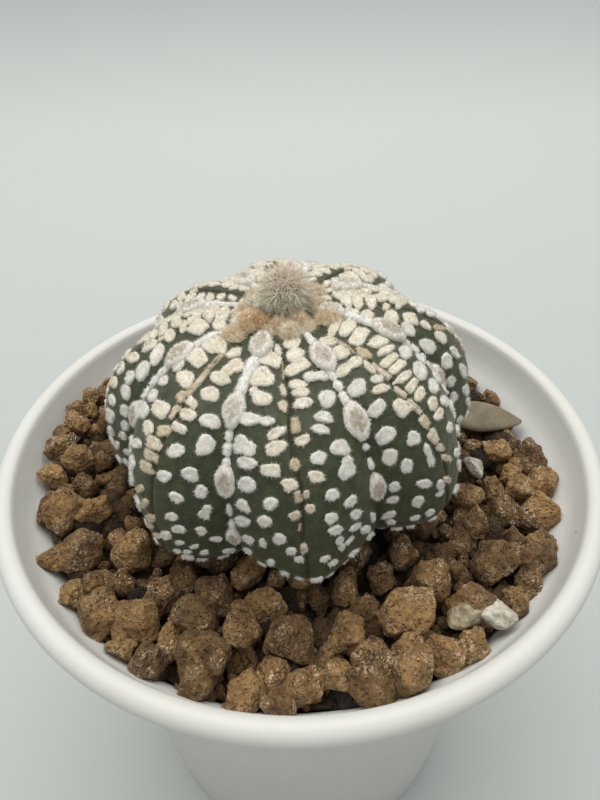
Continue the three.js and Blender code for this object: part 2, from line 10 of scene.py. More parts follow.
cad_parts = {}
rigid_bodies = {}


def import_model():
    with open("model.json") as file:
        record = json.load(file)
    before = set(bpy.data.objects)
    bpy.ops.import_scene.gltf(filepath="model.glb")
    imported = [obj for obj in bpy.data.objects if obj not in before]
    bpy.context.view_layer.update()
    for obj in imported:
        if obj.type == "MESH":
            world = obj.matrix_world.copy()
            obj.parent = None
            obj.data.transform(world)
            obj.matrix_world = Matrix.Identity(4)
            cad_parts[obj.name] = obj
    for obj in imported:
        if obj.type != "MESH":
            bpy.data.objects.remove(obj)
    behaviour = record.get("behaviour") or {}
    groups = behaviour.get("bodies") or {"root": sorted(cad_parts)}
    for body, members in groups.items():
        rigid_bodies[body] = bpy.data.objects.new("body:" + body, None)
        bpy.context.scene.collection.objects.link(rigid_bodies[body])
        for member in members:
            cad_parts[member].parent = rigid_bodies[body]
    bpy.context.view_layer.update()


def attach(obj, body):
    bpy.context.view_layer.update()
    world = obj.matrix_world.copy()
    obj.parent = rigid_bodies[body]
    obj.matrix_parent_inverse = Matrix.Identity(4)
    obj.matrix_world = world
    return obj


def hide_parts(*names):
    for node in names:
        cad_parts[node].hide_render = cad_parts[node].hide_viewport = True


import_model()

bl_info = {
    "name": "Potted star cactus",
    "version": (1, 0, 0),
    "blender": (4, 5, 0),
    "location": "3D View > Sidebar > Star cactus",
    "description": "Dresses the packed frame of a star cactus in a white pot",
    "category": "Object",
}

MM = 0.001

# ---- the frame's driving dimensions, in millimetres ----

POT_HEIGHT = 92
RIM_RADIUS = 50
BEAD_RADIUS = 1.82
RIM_Z = POT_HEIGHT - BEAD_RADIUS  # the rim's plane, from which the plant and the soil are measured
WALL = 1.2
BASE_RADIUS = 34
SHOULDER_RADIUS = 40
SHOULDER_Z = RIM_Z - 18
FLARE = ((6.8, 9), (3.7, 4.6), (2.8, 1.9))  # in from the rim's outside and down from its plane
FOOT_WIDTH = 1.8
FOOT_HEIGHT = 2.2
FLOOR_THICKNESS = 1.5
HOLE_RADIUS = 2.6
HOLE_CIRCLE = 20
HOLES = 6

RIBS = 8
CREST = 29.45
VALLEY = 24.55
EQUATOR = 5.1
RISE = 21.85
DROP = 8.7
UPPER = 2.73
LOWER = 2.44
ROUNDNESS = 1.68
TURN = 4.4
LEAN = (-0.093, -0.028)
SHIFT_X = -0.6
CROWN_SHIFT = (1.3, 0.75)
CROWN_SPREAD = 26
# Turn of each line from its even place, by half ribs: even keys are ribs, odd ones are valleys.
LINE_TURNS = {-4: -1.4, -2: 1.5, 0: 1.2, 2: -0.2, 4: -0.9, -5: -6, -3: -5, -1: -0.5, 1: 2.3, 3: 4.5, 5: 4}
KEEL_FROM, KEEL_OVER = 70, 45  # degrees down from the crown, on the rib in front
KEEL_SHARPER, KEEL_DEEPER, KEEL_HALF_WIDTH = 0.75, 0.35, 0.5
ROOT_RINGS = ((8.5, -7), (5.95, -23.5), (1.4, -40))  # radius and height

BUD_Z = 29.6
BUD_CORE = 3.0
SOIL_TOP = -7
SOIL_EDGE = 44.4
BED_EDGE = 41.6
HEAP, HEAP_BEARING, HEAP_SPREAD = 4.0, -103, 32  # the grit lies higher against the pot's left side
# Heights over the table and radii of the pot's inner side.
INNER_WALL = ((0, BASE_RADIUS - WALL), (SHOULDER_Z, SHOULDER_RADIUS - WALL),
              (RIM_Z - FLARE[0][1], RIM_RADIUS - FLARE[0][0] - WALL),
              (RIM_Z - FLARE[1][1], RIM_RADIUS - FLARE[1][0] - WALL),
              (RIM_Z - 2.4, RIM_RADIUS - 4.4), (RIM_Z, RIM_RADIUS - 3.6))

WHITE, BLACK = (1, 1, 1), (0, 0, 0)
ROUND = 6.28  # radians, for a turn drawn at random

# ---- what a user would change ----


class StarCactusPot(bpy.types.PropertyGroup):
    colour: FloatVectorProperty(
        name="Plastic", description="Colour of the pot's plastic", subtype="COLOR", size=3,
        default=(0.53, 0.535, 0.51), min=0, max=1)
    roughness: FloatProperty(
        name="Roughness", description="How dull the plastic is", subtype="FACTOR",
        default=0.45, min=0, max=1)
    segments: IntProperty(
        name="Segments", description="Faces round the pot", default=192, min=24, max=384)


class StarCactusPlant(bpy.types.PropertyGroup):
    skin: FloatVectorProperty(
        name="Skin", description="Colour of the bare skin", subtype="COLOR", size=3,
        default=(0.042, 0.050, 0.018), min=0, max=1)
    skin_dark: FloatVectorProperty(
        name="Dark skin", description="Colour of the skin's darker patches", subtype="COLOR", size=3,
        default=(0.015, 0.019, 0.005), min=0, max=1)
    white: FloatVectorProperty(
        name="White flecks", description="Colour of the felt of the lower flecks", subtype="COLOR", size=3,
        default=(0.69, 0.69, 0.65), min=0, max=1)
    cream: FloatVectorProperty(
        name="Cream flecks", description="Colour of the felt near the crown and the seams",
        subtype="COLOR", size=3, default=(0.78, 0.735, 0.62), min=0, max=1)
    tan: FloatVectorProperty(
        name="Dried felt", description="Colour of the oldest felt", subtype="COLOR", size=3,
        default=(0.43, 0.34, 0.215), min=0, max=1)
    fleck_height: FloatProperty(
        name="Fleck height", description="How far a fleck stands out", subtype="DISTANCE", unit="LENGTH",
        default=0.00042, min=0.0001, max=0.002)
    seam_depth: FloatProperty(
        name="Seam depth", description="Depth of the crease down each rib", subtype="DISTANCE", unit="LENGTH",
        default=0.0005, min=0, max=0.002)
    fuzz_length: FloatProperty(
        name="Fuzz length", description="Length of the hairs of the felt", subtype="DISTANCE", unit="LENGTH",
        default=0.0005, min=0.0001, max=0.002)
    fuzz_density: FloatProperty(
        name="Fuzz density", description="Hairs on a square metre of felt",
        default=20e6, min=0, max=60e6)


class StarCactusBud(bpy.types.PropertyGroup):
    hair_length: FloatProperty(
        name="Hair length", description="Length of the bud's hairs", subtype="DISTANCE", unit="LENGTH",
        default=0.0023, min=0.0005, max=0.006)
    hair_density: FloatProperty(
        name="Hair density", description="Hairs on a square metre of the bud",
        default=22e6, min=0, max=80e6)
    grey: FloatVectorProperty(
        name="Grey hair", description="Colour of the hairs round the bud", subtype="COLOR", size=3,
        default=(0.72, 0.68, 0.53), min=0, max=1)
    pink: FloatVectorProperty(
        name="Pink hair", description="Colour of the hairs at the bud's tip", subtype="COLOR", size=3,
        default=(0.84, 0.71, 0.61), min=0, max=1)


class StarCactusSoil(bpy.types.PropertyGroup):
    light: FloatVectorProperty(
        name="Dry grit", description="Lighter colour of the lumps", subtype="COLOR", size=3,
        default=(0.51, 0.305, 0.116), min=0, max=1)
    # The darker colour of the lumps, which also serves as painted shade on those that lie lower.
    dark: FloatVectorProperty(
        name="Dark grit and painted shade", description="Darker colour of the lumps", subtype="COLOR", size=3,
        default=(0.135, 0.071, 0.022), min=0, max=1)
    roughness: FloatProperty(
        name="Ruggedness", description="How far the lumps' faces are broken up",
        subtype="DISTANCE", unit="LENGTH", default=0.0006, min=0, max=0.003)


class StarCactusStudio(bpy.types.PropertyGroup):
    key: FloatProperty(
        name="Overhead light", description="Power of the large light above", unit="POWER",
        default=6.7, min=0, max=500)
    sky: FloatProperty(
        name="Surrounding light", description="Strength of the light from all round",
        default=0.78, min=0, max=5)
    floor: FloatVectorProperty(
        name="Floor", description="Colour of the pale floor", subtype="COLOR", size=3,
        default=(0.40, 0.42, 0.40), min=0, max=1)


def settings(group):
    return getattr(bpy.context.scene, "star_cactus_" + group)


# ---- helpers for numbers ----


def dice(seed):
    """A repeatable draw between 0 and 1."""
    factor, modulus = 16807, 2147483647
    state = seed

    def draw():
        nonlocal state
        state = (state * factor) % modulus
        return state / modulus

    return draw


def ripple(points, wavelength, seed):
    """Smooth repeatable noise, mostly between -1 and 1, over points in millimetres."""
    waves = 10
    draw = dice(seed)
    total = np.zeros(points.shape[:-1])
    for _ in range(waves):
        direction = np.array([draw() - 0.5, draw() - 0.5, draw() - 0.5])
        direction /= np.linalg.norm(direction)
        stretch = (0.65 + 0.7 * draw()) * 2 * math.pi / wavelength
        total += np.sin(points @ direction * stretch + 2 * math.pi * draw())
    return total / math.sqrt(waves / 2) / 1.5


def line_angle(halves):
    """Degrees from the front to a rib (even number of half ribs) or to a valley (odd)."""
    halves = np.asarray(halves)
    turns = np.array([LINE_TURNS.get(i if i < RIBS else i - 2 * RIBS, 0) for i in range(2 * RIBS)], float)
    return TURN + halves * 180 / RIBS + turns[halves % (2 * RIBS)]


def body_point(rib, across, down):
    """The body's surface: across runs from valley (-1) to valley (1), down is the angle from the crown."""
    rib, across, down = np.broadcast_arrays(rib, np.asarray(across, float), np.asarray(down, float))
    middle = line_angle(2 * rib)
    side = line_angle(2 * rib + np.where(across < 0, -1, 1))
    around = np.radians(middle + (side - middle) * np.abs(across))
    is_keel = rib % RIBS == 0
    keel = np.where(is_keel, np.clip((down - KEEL_FROM) / KEEL_OVER, 0, 1), 0)
    swell = 1 - np.abs(across) ** (ROUNDNESS - KEEL_SHARPER * keel)
    reach = VALLEY + (CREST - VALLEY) * swell
    power = 2 / np.where(down > 90, LOWER, UPPER)
    deeper = np.where(is_keel, 1 + KEEL_DEEPER * np.maximum(0, 1 - np.abs(across) / KEEL_HALF_WIDTH), 1)
    height = np.where(down > 90, -DROP * deeper, RISE)
    radius = reach * np.abs(np.sin(np.radians(down))) ** power
    x = radius * np.sin(around)
    y = -radius * np.cos(around)
    z = EQUATOR + height * np.abs(np.cos(np.radians(down))) ** power
    crown = np.exp(-((down / CROWN_SPREAD) ** 2))
    return np.stack([
        x + z * LEAN[0] + SHIFT_X + crown * CROWN_SHIFT[0],
        y + z * LEAN[1] + crown * CROWN_SHIFT[1],
        z - x * LEAN[0] - y * LEAN[1],
    ], axis=-1)


def unit(vectors):
    return vectors / np.maximum(np.linalg.norm(vectors, axis=-1, keepdims=True), 1e-9)


def body_frame(rib, across, down):
    """Point, direction across and outward normal of the body's surface."""
    across = np.asarray(across, float)
    step = np.where(across > 0, -0.02, 0.02)
    here = body_point(rib, across, down)
    along = (body_point(rib, across + step, down) - here) / step[..., None]
    fall = body_point(rib, across, np.asarray(down) + 1.0) - body_point(rib, across, np.asarray(down) - 1.0)
    return here, unit(along), unit(np.cross(fall, along))


def valley_frame(valley_halves, down):
    """Point, direction across and outward normal over a valley, where both ribs' directions are averaged."""
    here, left_along, left = body_frame((valley_halves - 1) // 2, np.float64(1), down)
    _, right_along, right = body_frame((valley_halves + 1) // 2, np.float64(-1), down)
    return here, unit(left_along + right_along), unit(left + right)


CROWN = body_point(0, 0.0, 0.0)


def polar(angle, radius):
    """Place in plan, by degrees from the front and millimetres from the axis."""
    return np.array([radius * math.sin(math.radians(angle)), -radius * math.cos(math.radians(angle))])


def spread_radius(least, most, share):
    """Radius that spreads places evenly over a ring in plan."""
    return math.sqrt(least ** 2 + (most ** 2 - least ** 2) * share)


def run_of(line):
    """Length along a line of points, at each of them."""
    return np.concatenate([[0], np.cumsum(np.linalg.norm(np.diff(line, axis=0), axis=1))])


def scaled(colour, *factors):
    """A colour times one factor, or times one for each channel."""
    return tuple(c * f for c, f in zip(colour, factors * 3))


# ---- helpers for meshes and pieces ----


def linked(name, data):
    """An object of the scene that holds some data."""
    made = bpy.data.objects.new(name, data)
    bpy.context.scene.collection.objects.link(made)
    return made


def placed(points):
    """Plant millimetres, measured from the rim's plane, as metres in the frame."""
    return (np.asarray(points, float) + np.array([0, 0, RIM_Z])) * MM


def mesh_of(name, points, faces, edges=(), **values):
    """A mesh from metres, with one float or vector value at each point for each further name."""
    mesh = bpy.data.meshes.new(name)
    mesh.from_pydata([tuple(p) for p in np.asarray(points).tolist()], list(edges), [tuple(f) for f in faces])
    for key, column in values.items():
        column = np.asarray(column)
        kind, field, number = "FLOAT", "value", np.float32
        if column.ndim == 2:
            kind, field = "FLOAT_VECTOR", "vector"
        elif column.dtype.kind == "i":
            kind, number = "INT", np.int32
        store = mesh.attributes.new(key, kind, "POINT")
        store.data.foreach_set(field, column.astype(number).ravel())
    mesh.update()
    return mesh


def show(name, mesh, slot, *nodes, material=None, smooth=True):
    """Puts a finished mesh on the frame as one piece."""
    if not len(mesh.polygons):
        raise RuntimeError(name + " came out empty")
    mesh.name = name
    if material:
        mesh.materials.clear()
        mesh.materials.append(material)
    mesh.polygons.foreach_set("use_smooth", [smooth] * len(mesh.polygons))
    piece = linked(name, mesh)
    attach(piece, "root")
    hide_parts(*nodes)


def grid_faces(rows, columns):
    """Faces between rows of points, each row a ring of so many columns."""
    faces = []
    for row in range(rows - 1):
        for column in range(columns):
            a = row * columns + column
            b = row * columns + (column + 1) % columns
            faces.append((a, b, b + columns, a + columns))
    return faces


def ring_at(angles, radius, z):
    """A level ring of points, from the front round by the right."""
    return np.stack([radius * np.sin(angles), -radius * np.cos(angles), np.full(len(angles), z)], axis=1)


def ball(level, radius=1):
    """Points and faces of a ball of triangles."""
    made = bmesh.new()
    bmesh.ops.create_icosphere(made, subdivisions=level, radius=radius)
    points = np.array([v.co[:] for v in made.verts])
    faces = [[v.index for v in f.verts] for f in made.faces]
    made.free()
    return points, faces


def facing_out(mesh):
    made = bmesh.new()
    made.from_mesh(mesh)
    bmesh.ops.remove_doubles(made, verts=made.verts, dist=1e-7)
    bmesh.ops.recalc_face_normals(made, faces=made.faces)
    made.to_mesh(mesh)
    made.free()
    return mesh


# ---- helpers for node trees ----


def add(tree, kind, inputs=None, **values):
    """A node with its settings made and its inputs set or linked."""
    made = tree.nodes.new(kind)
    for name, value in values.items():
        setattr(made, name, value)
    for name, value in (inputs or {}).items():
        socket = made.inputs[name]
        if isinstance(value, bpy.types.NodeSocket):
            tree.links.new(value, socket)
        else:
            socket.default_value = (*value[:3], 1) if socket.type == "RGBA" else value
    return made


def maths(tree, operation, a, b, c=0.0):
    return add(tree, "ShaderNodeMath", {0: a, 1: b, 2: c}, operation=operation).outputs[0]


def times(tree, a, b):
    return maths(tree, "MULTIPLY", a, b)


def vectors(tree, operation, a, b=None, scale=None):
    inputs = {0: a}
    if b is not None:
        inputs[1] = b
    if scale is not None:
        inputs["Scale"] = scale
    return add(tree, "ShaderNodeVectorMath", inputs, operation=operation).outputs[0]


def blended(tree, factor, a, b, blend="MIX"):
    return add(tree, "ShaderNodeMix", {0: factor, 6: a, 7: b}, data_type="RGBA", blend_type=blend).outputs[2]


def ranged(tree, value, low, high, to_low=0.0, to_high=1.0):
    return add(tree, "ShaderNodeMapRange", {"Value": value, "From Min": low, "From Max": high,
                                            "To Min": to_low, "To Max": to_high}).outputs[0]


def noise(tree, scale, detail, **inputs):
    return add(tree, "ShaderNodeTexNoise", {"Scale": scale, "Detail": detail, **inputs}).outputs


def place_in(tree):
    """The point's own place on the piece, in metres."""
    return add(tree, "ShaderNodeTexCoord").outputs["Object"]


def parted(tree, vector):
    """A vector's three numbers."""
    return add(tree, "ShaderNodeSeparateXYZ", {0: vector}).outputs


def new_group(name, kind, inputs, outputs):
    """A node group and its two end nodes; an input that is given as a bare number is a float."""
    tree = bpy.data.node_groups.new(name, kind)
    for title, given in inputs.items():
        socket, default = given if isinstance(given, tuple) else ("NodeSocketFloat", given)
        made = tree.interface.new_socket(name=title, in_out="INPUT", socket_type=socket)
        if default is not None:
            made.default_value = default
    for title, socket in outputs.items():
        tree.interface.new_socket(name=title, in_out="OUTPUT", socket_type=socket)
    return tree, tree.nodes.new("NodeGroupInput").outputs, tree.nodes.new("NodeGroupOutput").inputs


def grown(name, mesh, tree, **values):
    """The plain mesh that a geometry tree makes of a mesh."""
    source = linked(name + "_source", mesh)
    modifier = source.modifiers.new("grow", "NODES")
    modifier.node_group = tree
    known = {}
    for socket in tree.interface.items_tree:
        if socket.item_type == "SOCKET" and socket.in_out == "INPUT":
            known[socket.name.replace(" ", "_").lower()] = socket.identifier
    for key, value in values.items():
        modifier[known[key]] = value
    depsgraph = bpy.context.evaluated_depsgraph_get()
    made = bpy.data.meshes.new_from_object(source.evaluated_get(depsgraph))
    made.name = name
    source.modifiers.remove(modifier)
    bpy.data.objects.remove(source)
    return made


# ---- geometry trees ----

OUT_GEOMETRY = {"Geometry": "NodeSocketGeometry"}


def attribute(tree, name, data_type="FLOAT"):
    return add(tree, "GeometryNodeInputNamedAttribute", {"Name": name}, data_type=data_type).outputs[0]


def unevenness(tree, scale, detail, depth, onto=0.0):
    """Noise about zero, so many metres deep, added to another height."""
    about_zero = maths(tree, "SUBTRACT", noise(tree, scale, detail)[0], 0.5)
    return maths(tree, "MULTIPLY_ADD", about_zero, depth, onto)


def raised(tree, geometry, rise):
    """The surface moved out along its normals."""
    normal = add(tree, "GeometryNodeInputNormal").outputs[0]
    return add(tree, "GeometryNodeSetPosition", {
        "Geometry": geometry, "Offset": vectors(tree, "SCALE", normal, scale=rise)}).outputs[0]


def ended(tree, geometry, given, result):
    """Ends a tree: its geometry is made real and gets its material."""
    real = add(tree, "GeometryNodeRealizeInstances", {0: geometry}).outputs[0]
    final = add(tree, "GeometryNodeSetMaterial", {"Geometry": real, "Material": given["Material"]}).outputs[0]
    tree.links.new(final, result[0])
    return tree


def drawn(tree, least, most, seed):
    """A vector drawn at random at each point."""
    return add(tree, "FunctionNodeRandomValue", {0: least, 1: most, "Seed": seed},
               data_type="FLOAT_VECTOR").outputs[0]


def scatter_tree():
    """Sets one of a collection's shapes on each point, by its own turn, size and shape, and roughens them.

    Draped shapes keep their outline, but their heights are measured from the ground under each point.
    """
    tree, given, result = new_group("star_cactus_scatter", "GeometryNodeTree", {
        "Points": ("NodeSocketGeometry", None),
        "Shapes": ("NodeSocketCollection", None),
        "Ground": ("NodeSocketObject", None),
        "Drape": ("NodeSocketBool", False),
        "Coarse Depth": 0.0,
        "Coarse Scale": 600.0,
        "Fine Depth": 0.0,
        "Fine Scale": 2500.0,
        "Pit Depth": 0.0,
        "Pit Scale": 900.0,
        "Material": ("NodeSocketMaterial", None),
    }, OUT_GEOMETRY)
    shapes = add(tree, "GeometryNodeCollectionInfo", {
        "Collection": given["Shapes"], "Separate Children": True, "Reset Children": True}).outputs[0]
    turn = add(tree, "FunctionNodeEulerToRotation", {0: attribute(tree, "turn", "FLOAT_VECTOR")}).outputs[0]
    set_down = add(tree, "GeometryNodeInstanceOnPoints", {
        "Points": given["Points"], "Instance": shapes, "Pick Instance": True,
        "Instance Index": attribute(tree, "shape", "INT"), "Rotation": turn,
        "Scale": attribute(tree, "size", "FLOAT_VECTOR")}).outputs[0]
    real = add(tree, "GeometryNodeRealizeInstances", {0: set_down}).outputs[0]
    ground = add(tree, "GeometryNodeObjectInfo", {"Object": given["Ground"]}).outputs["Geometry"]
    under, upward = (
        add(tree, "GeometryNodeSampleNearestSurface", {"Mesh": ground, "Value": add(tree, spot).outputs[0]},
            data_type="FLOAT_VECTOR").outputs[0]
        for spot in ("GeometryNodeInputPosition", "GeometryNodeInputNormal"))
    lift = times(tree, attribute(tree, "rise"), attribute(tree, "tall"))
    real = add(tree, "GeometryNodeSetPosition", {
        "Geometry": real, "Selection": given["Drape"],
        "Position": vectors(tree, "ADD", under, vectors(tree, "SCALE", upward, scale=lift))}).outputs[0]
    pits = add(tree, "ShaderNodeTexVoronoi", {"Scale": given["Pit Scale"]}, feature="SMOOTH_F1")
    pit = ranged(tree, pits.outputs["Distance"], 0.1, 0.42, -1.0, 0.0)
    rise = unevenness(tree, given["Coarse Scale"], 2.0, given["Coarse Depth"])
    rise = unevenness(tree, given["Fine Scale"], 2.0, given["Fine Depth"], rise)
    rise = maths(tree, "MULTIPLY_ADD", pit, given["Pit Depth"], rise)
    return ended(tree, raised(tree, real, rise), given, result)


def fuzz_tree():
    """Stands fine hairs on a surface, leaning at random from its normal."""
    tree, given, result = new_group("star_cactus_fuzz", "GeometryNodeTree", {
        "Surface": ("NodeSocketGeometry", None),
        "Hair": ("NodeSocketObject", None),
        "Density": 1e7,
        "Length": 0.0004,
        "Width": 0.00004,
        "Lean": 0.7,
        "Rim Share": 0.0,
        "Seed": ("NodeSocketInt", 0),
        "Material": ("NodeSocketMaterial", None),
    }, OUT_GEOMETRY)
    growing = attribute(tree, "core")
    alive = add(tree, "FunctionNodeCompare", {0: growing, 1: -0.3}, data_type="FLOAT",
                operation="GREATER_THAN").outputs[0]
    denser = maths(tree, "MULTIPLY_ADD", maths(tree, "SUBTRACT", 0.5, growing), given["Rim Share"], 1.0)
    spread = add(tree, "GeometryNodeDistributePointsOnFaces", {
        "Mesh": given["Surface"], "Selection": alive, "Seed": given["Seed"],
        "Density": times(tree, denser, given["Density"])})
    stray = drawn(tree, (-1, -1, -1), (1, 1, 1), 3)
    aim = vectors(tree, "ADD", spread.outputs["Normal"], vectors(tree, "SCALE", stray, scale=given["Lean"]))
    spin = drawn(tree, (0, 0, 0), (0, 0, 6.283), 5)
    turn = add(tree, "FunctionNodeAlignRotationToVector", {"Vector": aim}, axis="Z").outputs[0]
    turn = add(tree, "FunctionNodeRotateRotation", {
        0: turn, 1: add(tree, "FunctionNodeEulerToRotation", {0: spin}).outputs[0]},
        rotation_space="LOCAL").outputs[0]
    share = add(tree, "FunctionNodeRandomValue", {2: 0.45, 3: 1.0, "Seed": 8}, data_type="FLOAT").outputs[1]
    size = add(tree, "ShaderNodeCombineXYZ", {
        0: given["Width"], 1: given["Width"], 2: times(tree, given["Length"], share)}).outputs[0]
    hair = add(tree, "GeometryNodeObjectInfo", {"Object": given["Hair"], "As Instance": True})
    planted = add(tree, "GeometryNodeInstanceOnPoints", {
        "Points": spread.outputs["Points"], "Instance": hair.outputs["Geometry"], "Rotation": turn,
        "Scale": size}).outputs[0]
    return ended(tree, planted, given, result)


def cord_tree():
    """Lays a cord of felt along lines of points, as thick as each point says."""
    tree, given, result = new_group("star_cactus_cord", "GeometryNodeTree", {
        "Lines": ("NodeSocketGeometry", None),
        "Sides": ("NodeSocketInt", 9),
        "Coarse Depth": 0.0005,
        "Coarse Scale": 1100.0,
        "Material": ("NodeSocketMaterial", None),
    }, OUT_GEOMETRY)
    curve = add(tree, "GeometryNodeMeshToCurve", {0: given["Lines"]}).outputs[0]
    ring = add(tree, "GeometryNodeCurvePrimitiveCircle", {"Resolution": given["Sides"], "Radius": 1.0})
    mesh = add(tree, "GeometryNodeCurveToMesh", {
        "Curve": curve, "Profile Curve": ring.outputs[0], "Scale": attribute(tree, "thick"),
        "Fill Caps": True}).outputs[0]
    rise = unevenness(tree, given["Coarse Scale"], 3.0, given["Coarse Depth"])
    return ended(tree, raised(tree, mesh, rise), given, result)


def tree_named(name, maker):
    return bpy.data.node_groups.get(name) or maker()


# ---- shader groups and materials ----


def mottle_group():
    """Two colours in cloudy patches."""
    tree, given, result = new_group("star_cactus_mottle", "ShaderNodeTree", {
        "Light": ("NodeSocketColor", (1, 1, 1, 1)),
        "Dark": ("NodeSocketColor", (0, 0, 0, 1)),
        "Scale": 100.0,
        "Contrast": 0.2,
    }, {"Color": "NodeSocketColor", "Mask": "NodeSocketFloat"})
    cloud = noise(tree, given["Scale"], 5.0, Vector=place_in(tree), Roughness=0.6)[0]
    low = maths(tree, "SUBTRACT", 0.5, given["Contrast"])
    high = maths(tree, "ADD", 0.5, given["Contrast"])
    mask = ranged(tree, cloud, low, high)
    tree.links.new(blended(tree, mask, given["Dark"], given["Light"]), result["Color"])
    tree.links.new(mask, result["Mask"])
    return tree


def crumb_group():
    """A height made of coarse and fine grain with small round pits, and the pits' own mask."""
    tree, given, result = new_group("star_cactus_crumb", "ShaderNodeTree", {
        "Scale": 1000.0,
        "Pits": 0.5,
    }, {"Height": "NodeSocketFloat", "Pit": "NodeSocketFloat"})
    place = place_in(tree)
    coarse = noise(tree, given["Scale"], 6.0, Vector=place, Roughness=0.7)[0]
    cells = add(tree, "ShaderNodeTexVoronoi", {"Vector": place, "Scale": given["Scale"]}, feature="F1")
    pit = times(tree, ranged(tree, cells.outputs["Distance"], 0.12, 0.38, 1.0, 0.0), given["Pits"])
    tree.links.new(maths(tree, "SUBTRACT", coarse, pit), result["Height"])
    tree.links.new(pit, result["Pit"])
    return tree


def group_node(tree, name, maker, inputs):
    return add(tree, "ShaderNodeGroup", inputs, node_tree=tree_named(name, maker)).outputs


def mottle(tree, light, dark, scale, contrast):
    return group_node(tree, "star_cactus_mottle", mottle_group,
                      {"Light": light, "Dark": dark, "Scale": scale, "Contrast": contrast})


def patches(tree, scale, contrast):
    """The mask alone of cloudy patches."""
    return mottle(tree, WHITE, BLACK, scale, contrast)["Mask"]


def crumb(tree, scale, pits):
    return group_node(tree, "star_cactus_crumb", crumb_group, {"Scale": scale, "Pits": pits})


def new_material(name, **constants):
    """A material with its shader, whose constant sockets are set."""
    material = bpy.data.materials.new(name)
    material.use_nodes = True
    tree = material.node_tree
    shader = tree.nodes["Principled BSDF"]
    for key, value in constants.items():
        shader.inputs[key.replace("_", " ")].default_value = value
    return material, tree, shader


def bump(tree, shader, height, distance, strength=1.0):
    made = add(tree, "ShaderNodeBump", {"Height": height, "Distance": distance, "Strength": strength})
    tree.links.new(made.outputs[0], shader.inputs["Normal"])


def painted(tree, shader, base, roughness=None):
    """Links a material's colour, and its roughness where that varies."""
    tree.links.new(base, shader.inputs["Base Color"])
    if roughness is not None:
        tree.links.new(roughness, shader.inputs["Roughness"])


def value_of(tree, name):
    return add(tree, "ShaderNodeAttribute", attribute_name=name).outputs["Fac"]


# The middle of the pot's wall beside the grit, as heights and radii, and the heights over which the painted
# light that makes its inner side paler begins and ends.
WALL_MIDDLE = ((74, 90), (39.4, 47.6))
PAINTED_LIGHT_BEGINS, PAINTED_LIGHT_ENDS, PAINTED_LIGHT_INSIDE = (79, 80), (87, 90.5), 1.26


def plastic_material():
    user = settings("pot")
    material, tree, shader = new_material("white_plastic", Roughness=user.roughness, IOR=1.48)
    colour = tuple(user.colour)
    base = mottle(tree, colour, scaled(colour, 0.96, 0.945, 0.90), 38.0, 0.2)["Color"]
    place = place_in(tree)
    # Painted light: the inner side over the grit is painted paler, for the light that comes through the thin
    # wall.
    x, y, z = parted(tree, place)
    flat = add(tree, "ShaderNodeCombineXYZ", {0: x, 1: y}).outputs[0]
    radius = add(tree, "ShaderNodeVectorMath", {0: flat}, operation="LENGTH").outputs["Value"]
    middle = ranged(tree, z, *(at * MM for ends in WALL_MIDDLE for at in ends))
    inner = ranged(tree, maths(tree, "SUBTRACT", radius, middle), -0.1 * MM, 0.1 * MM, 1.0, 0.0)
    inner = times(tree, inner, ranged(tree, z, *(at * MM for at in PAINTED_LIGHT_BEGINS)))
    inner = times(tree, inner, ranged(tree, z, *(at * MM for at in PAINTED_LIGHT_ENDS), 1.0, 0.0))
    base = blended(tree, inner, base, scaled(colour, PAINTED_LIGHT_INSIDE))
    # Small dark specks of dust.
    cells = add(tree, "ShaderNodeTexVoronoi", {"Vector": place, "Scale": 95.0}).outputs["Distance"]
    speck = times(tree, ranged(tree, cells, 0.018, 0.028, 1.0, 0.0), 0.6)
    base = blended(tree, speck, base, (0.16, 0.12, 0.08))
    scuff = noise(tree, 900.0, 4.0, Vector=place)[0]
    painted(tree, shader, base, ranged(tree, scuff, 0.3, 0.7, user.roughness - 0.05, user.roughness + 0.08))
    bump(tree, shader, scuff, 0.00001, 0.25)
    return material


def skin_material():
    user = settings("plant")
    material, tree, shader = new_material("cactus_skin", Roughness=0.55, Sheen_Weight=0.15,
                                          Sheen_Roughness=0.45, Specular_IOR_Level=0.35)
    shader.inputs["Sheen Tint"].default_value = (0.80, 0.82, 0.66, 1)
    base = mottle(tree, tuple(user.skin), tuple(user.skin_dark), 700.0, 0.2)["Color"]
    # Pale specks of wax; then painted shade: the skin is painted darker and browner along the crease, and
    # darker in the valleys.
    wax = noise(tree, 3800.0, 2.0, Vector=place_in(tree))[0]
    base = blended(tree, ranged(tree, wax, 0.62, 0.78, 0.0, 0.35), base, (0.24, 0.28, 0.2))
    base = blended(tree, times(tree, value_of(tree, "seam"), 0.85), base, (0.035, 0.026, 0.012))
    base = blended(tree, times(tree, value_of(tree, "valley"), 0.5), base, (0.02, 0.028, 0.013))
    painted(tree, shader, base, ranged(tree, wax, 0.3, 0.7, 0.45, 0.68))
    bump(tree, shader, crumb(tree, 1700.0, 0.25)["Height"], 0.00012, 0.8)
    return material


def felt_material(name, white, cream, tan, white_heart=0.14, cream_heart=0.6, even=0.2):
    """Felt whose tint at each point runs from white over cream to tan, with a browner, blotched heart."""
    material, tree, shader = new_material(name, Roughness=0.9, Sheen_Weight=0.25,
                                          Sheen_Roughness=0.5, Specular_IOR_Level=0.15)
    tint = value_of(tree, "tint")
    core = value_of(tree, "core")
    base = blended(tree, ranged(tree, tint, 0.0, 1.0), white, cream)
    base = blended(tree, ranged(tree, tint, 1.0, 2.0), base, tan)
    blotch = maths(tree, "MULTIPLY_ADD", patches(tree, 850.0, 0.13), 1 - even, even)
    heart = times(tree, ranged(tree, core, 0.1, 0.8), blotch)
    heart = times(tree, heart, ranged(tree, tint, 0.0, 1.0, white_heart, cream_heart))
    base = blended(tree, heart, base, tan)
    fibre = mottle(tree, WHITE, (0.78, 0.76, 0.72), 2600.0, 0.16)["Color"]
    painted(tree, shader, blended(tree, 1.0, base, fibre, "MULTIPLY"))
    bump(tree, shader, crumb(tree, 3600.0, 0.3)["Height"], 0.00012, 0.8)
    return material


